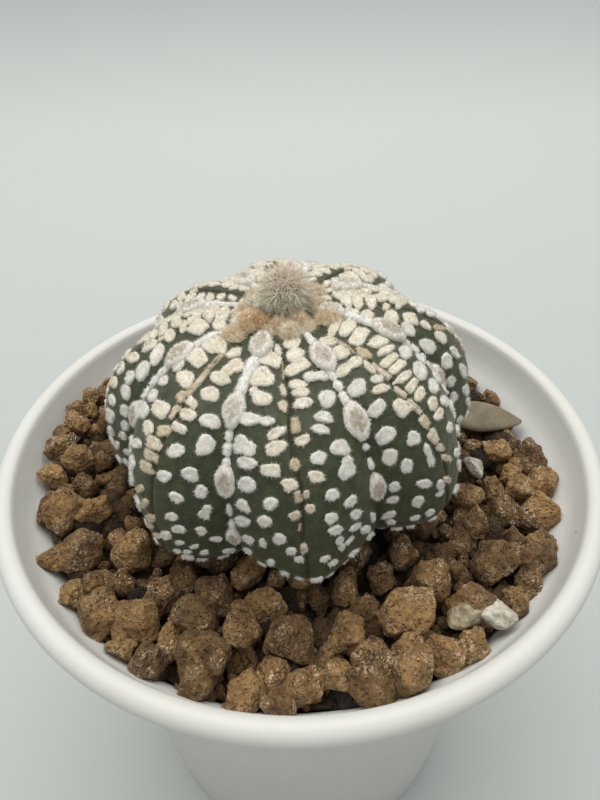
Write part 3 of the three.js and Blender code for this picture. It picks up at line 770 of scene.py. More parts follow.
def hair_material(name, side, tip, height, spread):
    """Hairs that turn from one colour to another over a height, each with its own tone."""
    material, tree, shader = new_material(name, Roughness=0.6, Specular_IOR_Level=0.3)
    place = place_in(tree)
    base = blended(tree, ranged(tree, parted(tree, place)[2], height - spread, height + spread), side, tip)
    tone = noise(tree, 2200.0, 2.0, Vector=place)[0]
    base = blended(tree, ranged(tree, tone, 0.35, 0.7, 0.0, 0.75), base, (0.66, 0.62, 0.50))
    base = blended(tree, ranged(tree, tone, 0.5, 0.25, 0.0, 0.6), base, (0.13, 0.12, 0.075))
    painted(tree, shader, base)
    return material


def soil_material():
    user = settings("soil")
    material, tree, shader = new_material("brown_grit", Roughness=0.6, Specular_IOR_Level=0.5)
    light, dark = tuple(user.light), tuple(user.dark)
    place = place_in(tree)
    base = mottle(tree, light, dark, 420.0, 0.2)["Color"]
    # A lump's own tone: lighter over 0, darker under it. The lumps that lie lower and the bed are given lower
    # tints, as painted shade, nearly black in the deep gaps.
    tint = value_of(tree, "tint")
    base = blended(tree, ranged(tree, tint, 0.0, 1.0, 0.0, 0.6), base, scaled(light, 1.3))
    base = blended(tree, ranged(tree, tint, 0.0, -1.0, 0.0, 0.75), base, dark)
    base = blended(tree, ranged(tree, tint, -1.0, -2.0), base, (0.03, 0.017, 0.008))
    cloud = mottle(tree, WHITE, (0.40, 0.34, 0.28), 1300.0, 0.15)["Color"]
    base = blended(tree, 0.62, base, cloud, "MULTIPLY")
    # Painted shade: the grain's pits are painted nearly black.
    grain = crumb(tree, 1500.0, 0.5)
    base = blended(tree, times(tree, grain["Pit"], 0.7), base, (0.03, 0.016, 0.007))
    # Painted glints: pale specks painted into the crusts where a lump is damp, for the glitter of the wet
    # grit.
    damp = mottle(tree, (0.3, 0.3, 0.3), (0.85, 0.85, 0.85), 330.0, 0.07)
    cells = add(tree, "ShaderNodeTexVoronoi", {"Vector": place, "Scale": 4200.0}).outputs["Color"]
    painted_glint = ranged(tree, add(tree, "ShaderNodeSeparateColor", {0: cells}).outputs[0], 0.74, 0.8)
    painted_glint = times(tree, painted_glint, times(tree, patches(tree, 210.0, 0.07), damp["Mask"]))
    painted_glint = times(tree, painted_glint, ranged(tree, tint, -1.0, -0.6))
    base = blended(tree, times(tree, painted_glint, 0.75), base, (0.85, 0.73, 0.54))
    # Thin cracks, painted dark as shade, bent by a slow noise and broken off in places.
    bend = noise(tree, 500.0, 3.0, Vector=place)["Color"]
    bent = vectors(tree, "ADD", place, vectors(tree, "SCALE", bend, scale=0.003))
    edge = add(tree, "ShaderNodeTexVoronoi", {"Vector": bent, "Scale": 330.0}, feature="DISTANCE_TO_EDGE")
    broken = times(tree, patches(tree, 240.0, 0.05), patches(tree, 620.0, 0.08))
    crack = times(tree, ranged(tree, edge.outputs[0], 0.006, 0.03, 1.0, 0.0), broken)
    base = blended(tree, times(tree, crack, 0.5), base, (0.045, 0.024, 0.01))
    painted(tree, shader, base, damp["Color"])
    bump(tree, shader, maths(tree, "SUBTRACT", grain["Height"], crack), 0.0011)
    return material


def stone_material(name, light, dark, scale, vein, roughness):
    material, tree, shader = new_material(name, Roughness=roughness)
    base = mottle(tree, light, dark, scale, 0.16)["Color"]
    cloud = mottle(tree, WHITE, vein, scale * 2.3, 0.12)["Color"]
    base = blended(tree, 0.8, base, cloud, "MULTIPLY")
    grain = crumb(tree, 1800.0, 0.3)["Height"]
    painted(tree, shader, base, ranged(tree, grain, 0.3, 0.7, roughness + 0.1, roughness - 0.1))
    bump(tree, shader, grain, 0.00015, 0.6)
    return material


def felt():
    user = settings("plant")
    return bpy.data.materials.get("fleck_felt") or felt_material(
        "fleck_felt", tuple(user.white), tuple(user.cream), tuple(user.tan))


# ---- shapes that are repeated ----


def shape_collection(name, meshes):
    """A collection, outside the scene, that holds the shapes which a tree sets on its points."""
    collection = bpy.data.collections.new(name)
    for number, mesh in enumerate(meshes):
        collection.objects.link(bpy.data.objects.new(f"{name}_{number:02d}", mesh))
    return collection


def drop_collection(collection):
    for held in list(collection.objects):
        bpy.data.objects.remove(held)
    bpy.data.collections.remove(collection)


def even_directions(count):
    """Even directions in plan, as cosines and sines."""
    angles = [2 * math.pi * i / count for i in range(count)]
    return [(math.cos(angle), math.sin(angle)) for angle in angles]


def circles_outline(circles, count):
    """Outline round the middle of a group of circles, each (x, y, radius), as far as they reach each way."""
    outline = []
    for dx, dy in even_directions(count):
        reach = 0.05
        for x, y, r in circles:
            along = x * dx + y * dy
            inside = r * r - (x * x + y * y - along * along)
            if inside > 0:
                reach = max(reach, along + math.sqrt(inside))
        outline.append((dx * reach, dy * reach))
    return outline


def polygon_outline(corners, count, draw):
    """Outline of an uneven polygon with rounded corners."""
    sharp = 9
    edges = [(2 * math.pi * (i + 0.35 * (draw() - 0.5)) / corners, 0.37 + 0.1 * draw())
             for i in range(corners)]
    outline = []
    for i in range(count):
        angle = 2 * math.pi * i / count
        total = sum(max(0, math.cos(angle - at) / reach) ** sharp for at, reach in edges)
        r = total ** (-1 / sharp)
        outline.append((math.cos(angle) * r, math.sin(angle) * r))
    return outline


def clustered(draw, middle, count, away, least, run):
    """A circle with smaller ones drawn about it, as the outline of something lumpy."""
    circles = [(0, 0, middle)]
    for _ in range(count):
        angle = ROUND * draw()
        circles.append((away * math.cos(angle), away * math.sin(angle), least + run * draw()))
    return circles


def spindle_outline(count, pointed):
    return [(0.5 * x * abs(x) ** pointed, 0.5 * y) for x, y in even_directions(count)]


# Share of the outline, height and distance from the rim of a pad's rings; the last is its foot, in the skin.
FLECK_RINGS = ((0.5, 0.78, 0.9), (0.85, 0.98, 0.3), (1.0, 0.4, 0.0), (0.96, -0.7, -1.0))


def pad_mesh(name, outline, rings, draw):
    """A low cushion over an outline, one unit wide and one unit high."""
    points, core = [(0, 0, rings[0][1])], [1.0]
    for share, height, inner in rings:
        for x, y in outline:
            lift = 1 + 0.4 * (draw() - 0.5) if height > 0.2 else 1
            points.append((x * share, y * share, height * lift))
            core.append(inner)
    count = len(outline)
    faces = [(0, 1 + i, 1 + (i + 1) % count) for i in range(count)]
    for ring in range(len(rings) - 1):
        for i in range(count):
            a, b = 1 + ring * count + i, 1 + ring * count + (i + 1) % count
            faces.append((a, a + count, b + count, b))
    return mesh_of(name, points, faces, core=np.array(core), rise=np.array(points)[:, 2])


PAD_SIDES = 18


def ragged(outline, draw, amount):
    """The outline with an uneven edge, one unit wide and one unit long."""
    points = np.array(outline) * (1 + amount * np.array([2 * draw() - 1 for _ in outline]))[:, None]
    return (points - (points.max(0) + points.min(0)) / 2) / (points.max(0) - points.min(0))


def fleck_shapes():
    """Rounded flecks, then angular, doubled and notched ones."""
    draw = dice(53)
    meshes = []

    def fleck(outline, amount=0.07):
        meshes.append(pad_mesh("fleck", ragged(outline, draw, amount), FLECK_RINGS, draw))

    for _ in range(8):  # rounded, shapes 0 to 7
        fleck(circles_outline(clustered(draw, 0.4, 4, 0.2, 0.24, 0.1), PAD_SIDES))
    for corners in (4, 5, 4, 4, 5, 4):  # angular, 8 to 13
        fleck(polygon_outline(corners, PAD_SIDES, draw), 0.05)
    for circles in (
            [(-0.26, 0.04, 0.24), (0.25, -0.04, 0.25), (0, 0, 0.15)],  # doubled, 14 and 15
            [(-0.27, -0.05, 0.25), (0.24, 0.05, 0.23), (0, 0, 0.17)],
            [(-0.2, 0.1, 0.28), (0.2, 0.12, 0.26), (0, -0.16, 0.25)],  # notched, 16 and 17
            [(-0.22, 0.05, 0.28), (0.2, 0.17, 0.22), (0.1, -0.12, 0.25)]):
        fleck(circles_outline(circles, PAD_SIDES))
    return meshes


KINDS = {"round": (0, 8), "tile": (8, 14), "double": (14, 16), "heart": (16, 18)}
TINTS = {"white": (0.0, 0.22), "cream": (0.6, 0.45), "tan": (1.25, 0.5)}  # lowest, and how far it runs

# ---- the flecks that the photograph shows ----
# For each rib and colour of felt: millimetres right of the rib's middle line and down from the crown, length,
# width, degrees that the length leans up from the level and, where it has one, its own kind of outline.
FLECKS = {
    0: {
        "cream": [
            (.8, 6.5, 2.2, 2.3, 0), (.9, 9, 2.3, 1.7, -20), (1.1, 10.9, 2.8, 1.7, 0),
            (-1.4, 7.9, 1.7, .9, 100), (-2.9, 7.8, 1.8, 1.2, 70), (-2.8, 9.4, 3.9, 1.8, 12),
            (-4.1, 12.6, 4.4, 2.6, 30, "heart"), (-5.3, 14.6, 1.6, .9, 40), (-4.1, 15.2, 3.3, 1.8, 15),
            (1.1, 13.4, 2.9, 1.3, -22), (1.5, 14.6, 2.7, 1.2, -18), (1.6, 15.9, 2.8, 1.4, -15),
            (-2.1, 19, 2.9, 1.3, 25), (-2.4, 20.8, 3, 1.8, 20), (1, 20.2, 2.1, 1.3, -8),
            (-3.7, 23.6, 2.8, 1.7, 15), (-1.4, 25.1, 2.1, 1.6, 25), (2.1, 24.8, 2.2, 1.5, -20),
        ],
        "tan": [
            (-.8, 11, 3, .5, 90), (-.95, 13.7, 1.8, 1, 100), (-1, 15.8, 1.8, 1.4, 110),
            (.3, 18.2, 2.2, 1.5, 100), (-.4, 22.8, 1.8, 1.5, 90), (-.6, 26.7, 1.8, 1.2, 90),
            (.4, 26.5, 1.2, 1, 90), (.7, 28.5, 1.6, 1.4, -30), (-1.4, 29.1, 1.8, 1.2, 30),
            (-1, 31, 1.6, .6, 70), (-1, 35, 2.2, .5, 85),
        ],
        "white": [
            (4.1, 13.6, 5.8, 1.6, -32, "double"), (5.6, 17.2, 4.4, 2, -35), (4.4, 18.7, 3.8, 1.4, -33),
            (3.5, 19.8, 3.4, 1.2, -30), (-6.2, 18.3, 5, 1.8, 20), (-3.4, 17.8, 2.7, 1.3, 15),
            (-7.4, 21.8, 5, 2.6, 25, "heart"), (-7, 23.6, 4, 1.6, 22), (2.7, 22.8, 2.6, 1.8, -25),
            (6.2, 23.2, 4.2, 1.9, -35), (-7.7, 26.5, 3.8, 2, 35), (-8.8, 29.8, 2.6, 2, 20),
            (-9.6, 33, 3.4, 1.7, 25), (-9.4, 36.4, 2.6, 1.6, 25), (-6.7, 35.2, 1.8, 1.2, 90),
            (-6.2, 39.5, 1.8, 1.3, 60), (-4.3, 27.9, 2.4, 1.8, 30), (-5.7, 30.8, 2.6, 1.9, 30),
            (-4.1, 33.3, 2.3, 1.9, 40), (-2.7, 35.2, 1.7, 1.4, 30), (-1.8, 36.7, 1.5, 1.1, 0),
            (6.9, 26.2, 3.4, 3, -40, "heart"), (3.8, 27.9, 2.3, 1.7, -25), (6.5, 30.5, 2.4, 1.7, -25),
            (3.2, 31, 2.2, 1.8, -30), (3.5, 33, 2.4, 1.6, -25), (7.2, 33.2, 2.6, 1.5, -30),
            (3.9, 35.3, 1.6, 1.4, 90), (6.8, 35.2, 2.6, 1.2, -30), (4.1, 37, 1.5, 1.3, 90),
            (5.5, 36.8, 1.8, 1, 15), (8.6, 37.6, 2.6, 1.4, -45), (1.6, 37.5, 1.8, 1.2, -15),
            (2.6, 39.5, 1.8, 1.4, -20), (10.5, 37, 2, 1, 90), (-.1, 41.5, 2.2, 1.4, 0),
            (-4.4, 42, 1.6, 1.4, 0),
        ],
    },
    -1: {
        "cream": [
            (.4, 9, 1.8, 1.6, -20), (-3.2, 9.7, 4.6, 1.6, 15), (-4.6, 10.8, 4.2, 1.4, 20),
            (-4.4, 12.6, 5, 2, 22), (-2.9, 14.8, 4.2, 1.9, 10), (2.4, 11.4, 3.4, 2.4, -40, "heart"),
            (2, 13, 3.8, 1.6, -20), (2.4, 15.2, 3.6, 1.8, -30), (.9, 16.6, 2.6, 1.1, -20),
            (1.5, 18.2, 2.8, 1.5, -20), (1.2, 19.9, 2.9, 1.2, -15), (-3.5, 19.5, 3.8, 2, 22),
            (-4, 22.3, 3.2, 1.7, 15),
        ],
        "tan": [
            (-.9, 11.3, 2.8, .6, 90), (-.7, 13.7, 2.6, .8, 95), (-.6, 15.3, 2.2, .8, 85),
            (-1.1, 16.6, 1.5, 1.3, 0), (-.7, 18.5, 1.8, 1, 90), (-.8, 21, 1.8, 1.4, 30),
            (-1.4, 23, 2.6, 1.5, 20), (-1.2, 24.6, 2.6, 1.3, 15), (-1.7, 26.5, 2.6, 1.3, 20),
            (-2.6, 30.4, 1.8, .9, 45), (-1.5, 32.2, 2.2, .9, 60), (-1.2, 34.8, 2.8, 1.1, 50),
            (-1.9, 37, 1.5, .8, 40), (-.9, 38.3, 1.5, .8, 40),
        ],
        "white": [
            (-7.2, 15.4, 4.4, 1.8, 20), (-7.3, 18, 3.4, 1.6, 25), (-7.3, 20, 3.6, 1.8, 25),
            (-7.8, 22.4, 4.2, 2.2, 22), (-5.6, 25.6, 3.6, 1.4, 30), (-6.2, 28.9, 3.4, 2.2, 35),
            (5.1, 19, 4.4, 1.7, -33), (2.3, 22.8, 2.7, 2.2, 0), (5.9, 22.2, 3.9, 2.4, -40),
            (1.9, 26.4, 2.3, 1.9, 0), (5.4, 25.9, 3.2, 1.8, -35), (4, 29.2, 2.5, 1.5, -35),
            (7.2, 28.7, 2.4, 1.7, -50), (3.2, 32.5, 2, 1.5, 0), (7.8, 32, 2.6, 1.9, 80, "heart"),
            (3.9, 34.7, 2.2, 1.6, 0), (1.6, 36.6, 2.6, 1.7, 45), (7, 35.2, 1.8, 1.5, -45),
            (3.5, 37.6, 1.7, .9, 15), (5.5, 38.4, 1.8, .8, 20), (8.6, 37.6, 2, .9, -30),
            (2.6, 39.8, 1.4, 1, 0), (4.2, 39.8, 1.4, 1, 0), (6.5, 40, 1.3, 1, 0), (3.8, 41.3, 2, 1.3, 0),
        ],
    },
    1: {
        "cream": [
            (-2, 9.3, 2, 1.7, 30), (.6, 7.8, 3.6, 1.1, 5), (2.6, 9.6, 4.6, 1.5, -18),
            (2.2, 11.4, 5, 1.9, -18), (-2.3, 11.6, 3.4, 1.9, 35), (-3.4, 14.1, 5.8, 1.6, 28, "double"),
            (-1.4, 15.1, 2.4, 1.1, 80), (-1.9, 17, 2, 1.3, 10), (-2.7, 18.4, 2.6, 1.3, 5),
            (-2.3, 21.9, 2.9, 2.5, 30, "heart"), (3.5, 14.2, 4.2, 1.7, -28), (2.9, 15.4, 4.4, 1.1, -25),
            (1.9, 16.3, 3.8, 1.2, -18), (2, 17.6, 3.8, 1.2, -18), (1.3, 18.9, 3.9, 1.2, -18),
            (1.5, 20.4, 3, 1.3, -5), (1.5, 21.9, 2.8, 1.5, -5), (2.4, 24.2, 2.3, 1.7, -10),
            (2.2, 25.8, 2.4, 1.3, -5),
        ],
        "tan": [
            (-1.1, 10.8, 3, .8, 95), (-.1, 13.2, 2.2, 1.4, 100), (-.5, 16.3, 2.6, .9, 95),
            (-.9, 19.9, 1.8, 1, 100), (-.9, 22, 1.4, 1.2, 90), (-.6, 23, 1.3, 1, 90),
            (-.8, 24.8, 1.6, 1.3, 90), (-.7, 27.3, 1.8, 1.6, 90), (-.4, 29.3, 1.6, 1, -50),
            (.2, 31.5, 2.6, .7, -50), (-.5, 35, 2.2, .8, -50),
        ],
        "white": [
            (-5.2, 17.6, 4.4, 1.9, 35), (-5.3, 21, 4, 1.8, 30), (6.2, 18.5, 5, 1.9, -25),
            (5.3, 21, 4.6, 2.4, -30), (-6.6, 24.8, 3.9, 2.1, 32), (-3.5, 26.2, 2.7, 1.9, 45),
            (-7.6, 28, 3.2, 2, 45), (-6, 29.8, 2.6, 1.8, 50), (-2.6, 29.2, 4, 1.4, 80, "double"),
            (-8.4, 33, 2.2, 1.6, 45), (-4.4, 33.3, 2.5, 1.6, -20), (-2, 34.9, 2.2, 1.5, 90),
            (-2.1, 36.6, 1.7, 1.2, 0), (-8.9, 35.5, 2.2, 1.3, 30), (-5.6, 36.5, 2.6, 1.9, 90),
            (-9.6, 38.6, 2.6, 1.3, 45), (-6, 39.9, 1.7, 1, 0), (-3.7, 39.7, 1.6, 1.4, 0),
            (-9.3, 40, 1.4, 1.2, 0), (3.2, 28.8, 2.2, 1.5, -30), (5.2, 23.6, 3.4, 2, -30),
            (5.6, 26.4, 3.4, 1.6, -30), (3.4, 33.4, 2.4, 1.5, -50), (3.9, 36, 2.2, 1.3, -50),
        ],
    },
    -2: {
        "cream": [
            (-2.2, 5.8, 3.4, 1.2, 20), (-1.8, 7.6, 4.2, 1.4, 18), (1.2, 8, 2.6, 1.3, -20),
            (-2.6, 9.4, 4.8, 1.3, 18), (.6, 10.3, 2.8, 2, -10), (-3.3, 11.5, 5.2, 1.3, 24),
            (-1, 12.3, 2.6, 1.1, 10), (.2, 13.9, 3, 1.5, -5), (-3.8, 14.3, 5, 1.2, 28),
            (-3.6, 16, 5, 1.2, 28), (.3, 16.8, 2.4, 2.2, 0), (-2.8, 18.2, 3.6, 1.3, 30),
            (1, 19.5, 2.6, 1.8, 0), (.8, 22.4, 2.4, 1.8, 0), (1.8, 24.6, 2.6, 1.6, -10),
        ],
        "white": [
            (3.2, 16.5, 5.6, 1.9, -35), (4.8, 19.8, 4.8, 2, -45), (4.2, 21.7, 2.8, 1.8, -45),
            (5.6, 24.2, 3.4, 1.9, -45), (3.7, 27, 2.6, 1.8, -15), (7.2, 27.2, 2.6, 1.6, -50),
            (4.1, 30.2, 3.4, 2.8, 0, "heart"), (8, 29.8, 2.3, 1.6, -60), (7.5, 32.3, 2, 1.9, 0),
            (4, 33.4, 2.4, 2.2, 30), (5.2, 35.6, 3, 1.6, 40), (7.8, 35.6, 1.6, 1.2, 0),
        ],
    },
    2: {
        "cream": [
            (.8, 8.2, 4.2, 1.5, -10), (1, 9.8, 4.4, 1.3, -14), (.5, 11.6, 4.4, 1.6, -12),
            (-2.6, 9.6, 2.8, 1.2, 45), (-3.2, 12, 3.4, 1.5, 38), (-.8, 13.6, 2, 1.1, 0),
            (-3, 15.1, 3.8, 2, 30), (.8, 15.8, 3.4, 1, -30), (-2.3, 17.6, 3, 2, 40),
            (-2.5, 20.2, 2.4, 1.2, 60), (-3.2, 23.2, 2.6, 1.7, 60),
        ],
        "tan": [(-1.6, 22.4, 2, 1, -60)],
        "white": [
            (3.6, 15.2, 5, 1.8, -35), (2.6, 17, 4.6, 1.5, -35), (1.6, 19.6, 3.6, 1.6, -35),
            (2, 21.5, 4, 2, -40), (-4.8, 18.5, 3.8, 1.7, 50), (-6, 22.6, 4, 2.2, 55),
            (-6.2, 26.8, 3.2, 2.2, 50), (-3.7, 26.9, 2.8, 1.6, 90), (-7.2, 30.4, 2.2, 1.7, 60),
            (-4, 30.8, 3.4, 1.8, 90), (-7.6, 33.5, 2, 1.6, 70), (-4.2, 34.8, 3.4, 2, -60),
            (-8.1, 37.2, 1.4, 1.4, 0), (-8.6, 39.4, 2.4, 1, -60), (-6.1, 39.6, 1.8, 1.4, 0),
            (-3.6, 37.8, 2.6, 1.4, -60),
        ],
    },
}
FRINGE = 0.25  # how much of a fleck's length and width is its fringe of hairs
UNSEEN_HALVES = [(3, -1), (3, 1), (4, -1), (4, 1), (-3, -1), (-3, 1), (-2, -1), (2, 1)]
# Ribs and sides that are filled up from so many millimetres down, and from so far from the middle line.
SIDE_FLANKS = ((1, 1, 22, 6), (-1, -1, 24, 6), (1, 1, 29, 1.5), (-1, -1, 31, 2), (0, 1, 40, 1.5),
               (0, -1, 40, 1.5), (-1, 1, 41, 1.5), (1, -1, 41, 1.5), (-2, 1, 37, 1.5), (2, -1, 38, 1.5))
# Ribs whose seams' dried scales aren't in the table above: from and to which millimetre down they stand.
SEAM_SCALES = {-2: (15, 38), 2: (24, 38), 3: (15, 38), 4: (15, 38), -3: (15, 38)}
# Millimetres that a rib's crease strays right of its middle line, by millimetres down from the crown.
SEAM_SWAY = {
    0: ((6, -.8), (11, -.5), (15, -.1), (19, -.6), (22, -.5), (26, -.1), (29, -.4), (32, -1), (42, -1.2)),
    -1: ((8, -.3), (10, -.9), (15, -.5), (18, -.2), (30, -.2)),
    1: ((6, -1.4), (10, -1), (14, -.8), (18, -.6), (26, -.4)),
}

# Areoles of each valley, by half ribs: angles from the crown.
AREOLES = {-1: (13, 38, 66, 88), 1: (22, 50, 78), -3: (8, 30, 63), 3: (11, 34, 66), -5: (4, 29, 62),
           5: (22, 50, 78), 7: (13, 38, 66), -7: (22, 50, 78)}

MERIDIAN_DOWNS = np.linspace(0.5, 150, 1500)
MERIDIAN = run_of(body_point(2, 0.4, MERIDIAN_DOWNS))


def down_at(millimetres):
    """Degrees from the crown at so many millimetres down."""
    return np.interp(millimetres, MERIDIAN, MERIDIAN_DOWNS)


def half_width(rib, down, side=1):
    """Millimetres from a rib's middle line to the valley at that side."""
    shares = np.linspace(0, side, 9)
    line = body_point(rib, shares, down)
    return float(np.linalg.norm(np.diff(line, axis=0), axis=1).sum())


def skin_point(rib, x, s):
    """The place so many millimetres right of a rib's middle line and down from the crown."""
    down = down_at(s)
    across = np.clip(x / half_width(rib, down, math.copysign(1, x)), -0.97, 0.97)
    return body_point(rib, np.float64(across), down), across, down


def settle(places):
    """Points mesh of flecks or pads: each has its point, two directions, spin, sizes, shape and tint."""
    points, turns, sizes, shapes, tints = [], [], [], [], []
    for point, along, normal, spin, size, shape, tint in places:
        side = np.cross(normal, along)
        x = along * math.cos(spin) + side * math.sin(spin)
        y = np.cross(normal, x)
        turn = Matrix((x, y, normal)).transposed().to_euler()
        points.append(point)
        turns.append(tuple(turn))
        sizes.append(size)
        shapes.append(shape)
        tints.append(tint)
    sizes = np.array(sizes) * MM
    return mesh_of("places", placed(points), [], turn=np.array(turns), size=sizes, tall=sizes[:, 2],
                   shape=np.array(shapes, int), tint=np.array(tints, float))


# In millimetres down from the crown. The rows of the unseen ribs are crowded tiles at first, then
# flecks, then smaller flecks.
WHITER_TO, CROWDED_TO, CREAM_TO, SMALLER_FROM = 24, 19, 26, 36
ROWS_END, FLANKS_END = 49, 43.5
FOOT_FROM, FOOT_END = 43.4, 50
# In millimetres: the room of one in its row, from row to row, and the size.
TILE_ROOM, TILE_ROW, TILE_WIDE = 3.3, 1.9, 1.72
FLECK_ROOM, FLECK_ROW, FLECK_LONG, FLECK_WIDE = 4.2, 3.5, 2.9, 1.9
FLANK_APART, FLANK_STEP = 3.3, 0.9
FOOT_ACROSS, FOOT_LONG, FOOT_WIDE, FOOT_ROW = (2, 4.6, 7.2), 1.7, 1.25, 2.9
CROWN_TILES, CROWN_TILES_TO, TILES, SEAM_FLECKS = 1.36, 11, 1.1, 1.25  # growth over the listed sizes


def fleck_places():
    draw = dice(2113)
    height = settings("plant").fleck_height / MM
    places, laid = [], []

    def fleck(rib, x, s, long, wide, lean, felted, kind=None):
        here, across, down = skin_point(rib, x, s)
        laid.append((rib, x, s))
        normal = body_frame(rib, np.float64(across), down)[2]
        # The two axes of its outline, laid on the skin; their own principal axes give its turn and sizes.
        rightward = (skin_point(rib, x + 0.1, s)[0] - skin_point(rib, x - 0.1, s)[0]) / 0.2
        upward = (skin_point(rib, x, s - 0.1)[0] - skin_point(rib, x, s + 0.1)[0]) / 0.2
        turn = math.radians(lean)
        axes = np.stack([(long - FRINGE) * (math.cos(turn) * rightward + math.sin(turn) * upward),
                         (wide - FRINGE) * (math.cos(turn) * upward - math.sin(turn) * rightward)], axis=1)
        directions, sizes, _ = np.linalg.svd(axes, full_matrices=False)
        along = unit(directions[:, 0] - normal * (directions[:, 0] @ normal))
        angular = felted == "tan" or felted == "cream" and draw() < 0.5
        low, high = KINDS[kind or ("tile" if angular else "round")]
        least, run = TINTS[felted]
        tint = least + run * draw()
        if felted == "white" and s < WHITER_TO:
            tint += 0.02 * (WHITER_TO - s)
        places.append((here, along, normal, math.pi if draw() < 0.5 else 0.0,
                       (*sizes, height * (0.85 + 0.3 * draw())), low + int(draw() * (high - low)), tint))

    for rib, felts in FLECKS.items():
        for felted, entries in felts.items():
            for x, s, long, wide, lean, *kind in entries:
                grown_by = 1.0
                if felted == "cream":  # the tiles nearly touch
                    grown_by = CROWN_TILES if s < CROWN_TILES_TO else TILES
                elif felted == "tan" and rib:
                    grown_by = SEAM_FLECKS
                fleck(rib, x, s, grown_by * long, grown_by * wide, lean, felted, *kind)
    # The ribs that face away: rows of cream tiles round the crown, then white flecks, smaller lower down.
    for rib, side in UNSEEN_HALVES:
        s = 5.6 + draw()
        while s < ROWS_END:
            crowded = s < CROWDED_TO
            room = half_width(rib, down_at(s), side) - 1.4
            count = max(1, round(room / (TILE_ROOM if crowded else FLECK_ROOM)))
            usual = 1 if s < SMALLER_FROM else 0.75
            for i in range(count):
                if s < 8 and room < 1:
                    continue
                x = 0.6 + room * (i + 0.5 + 0.16 * (draw() - 0.5)) / count
                long = (room / count - 0.1 if crowded else FLECK_LONG * usual) * (0.86 + 0.24 * draw())
                wide = (TILE_WIDE if crowded else FLECK_WIDE * usual) * (0.86 + 0.24 * draw())
                stray = 0.2 if crowded else 1.3
                felted = "cream" if crowded or (i == 0 and s < CREAM_TO) else "white"
                fleck(rib, side * x, s + stray * (draw() - 0.5), max(1.2, long), wide,
                      -side * (24 + 16 * (draw() - 0.5)), felted)
            s += TILE_ROW if crowded else FLECK_ROW * usual
    # The flanks of the ribs that are seen, beyond what the photograph shows of them.
    for rib, side, first, least in SIDE_FLANKS:
        s = first
        while s < FLANKS_END:
            long, wide = (2.7, 1.8) if s < SMALLER_FROM else (2.1, 1.4)
            x = least + 1.5 * draw()
            while x < half_width(rib, down_at(s), side) - 1.5:
                away = min(math.hypot(side * x - x2, s - s2) for rib2, x2, s2 in laid if rib2 == rib)
                if away > FLANK_APART:
                    fleck(rib, side * x, s, long, wide, -side * (26 + 20 * (draw() - 0.5)), "white")
                x += FLANK_STEP
            s += FLANK_STEP
    # Low on the ribs that are seen, where they turn under.
    for rib in (-2, -1, 0, 1, 2):
        for side in (-1, 1):
            if (rib, side) in UNSEEN_HALVES:
                continue
            for x in FOOT_ACROSS:
                s = FOOT_FROM + 1.2 * draw()
                while s < FOOT_END:
                    fleck(rib, side * (x + 0.8 * (draw() - 0.5)), s, FOOT_LONG, FOOT_WIDE,
                          50 * (draw() - 0.5), "white")
                    s += FOOT_ROW + draw()
    return settle(places)


def scale_places():
    """The small dried scales that stand in the seams."""
    draw = dice(389)
    places = []
    for rib, (first, last) in SEAM_SCALES.items():
        s = first + draw()
        while s < last:
            down = down_at(s)
            here, along, normal = body_frame(rib, np.float64(0.03 + 0.1 * (draw() - 0.5)), down)
            places.append((here, along, normal, 1.57 + 0.8 * (draw() - 0.5),
                           (1.3 + 0.9 * draw(), 0.9 + 0.5 * draw(), 0.35),
                           int(8 + draw() * 5.9), 1.2 + 0.6 * draw()))
            s += 2.1 + 1.2 * draw()
    return settle(places)


# ---- pieces ----


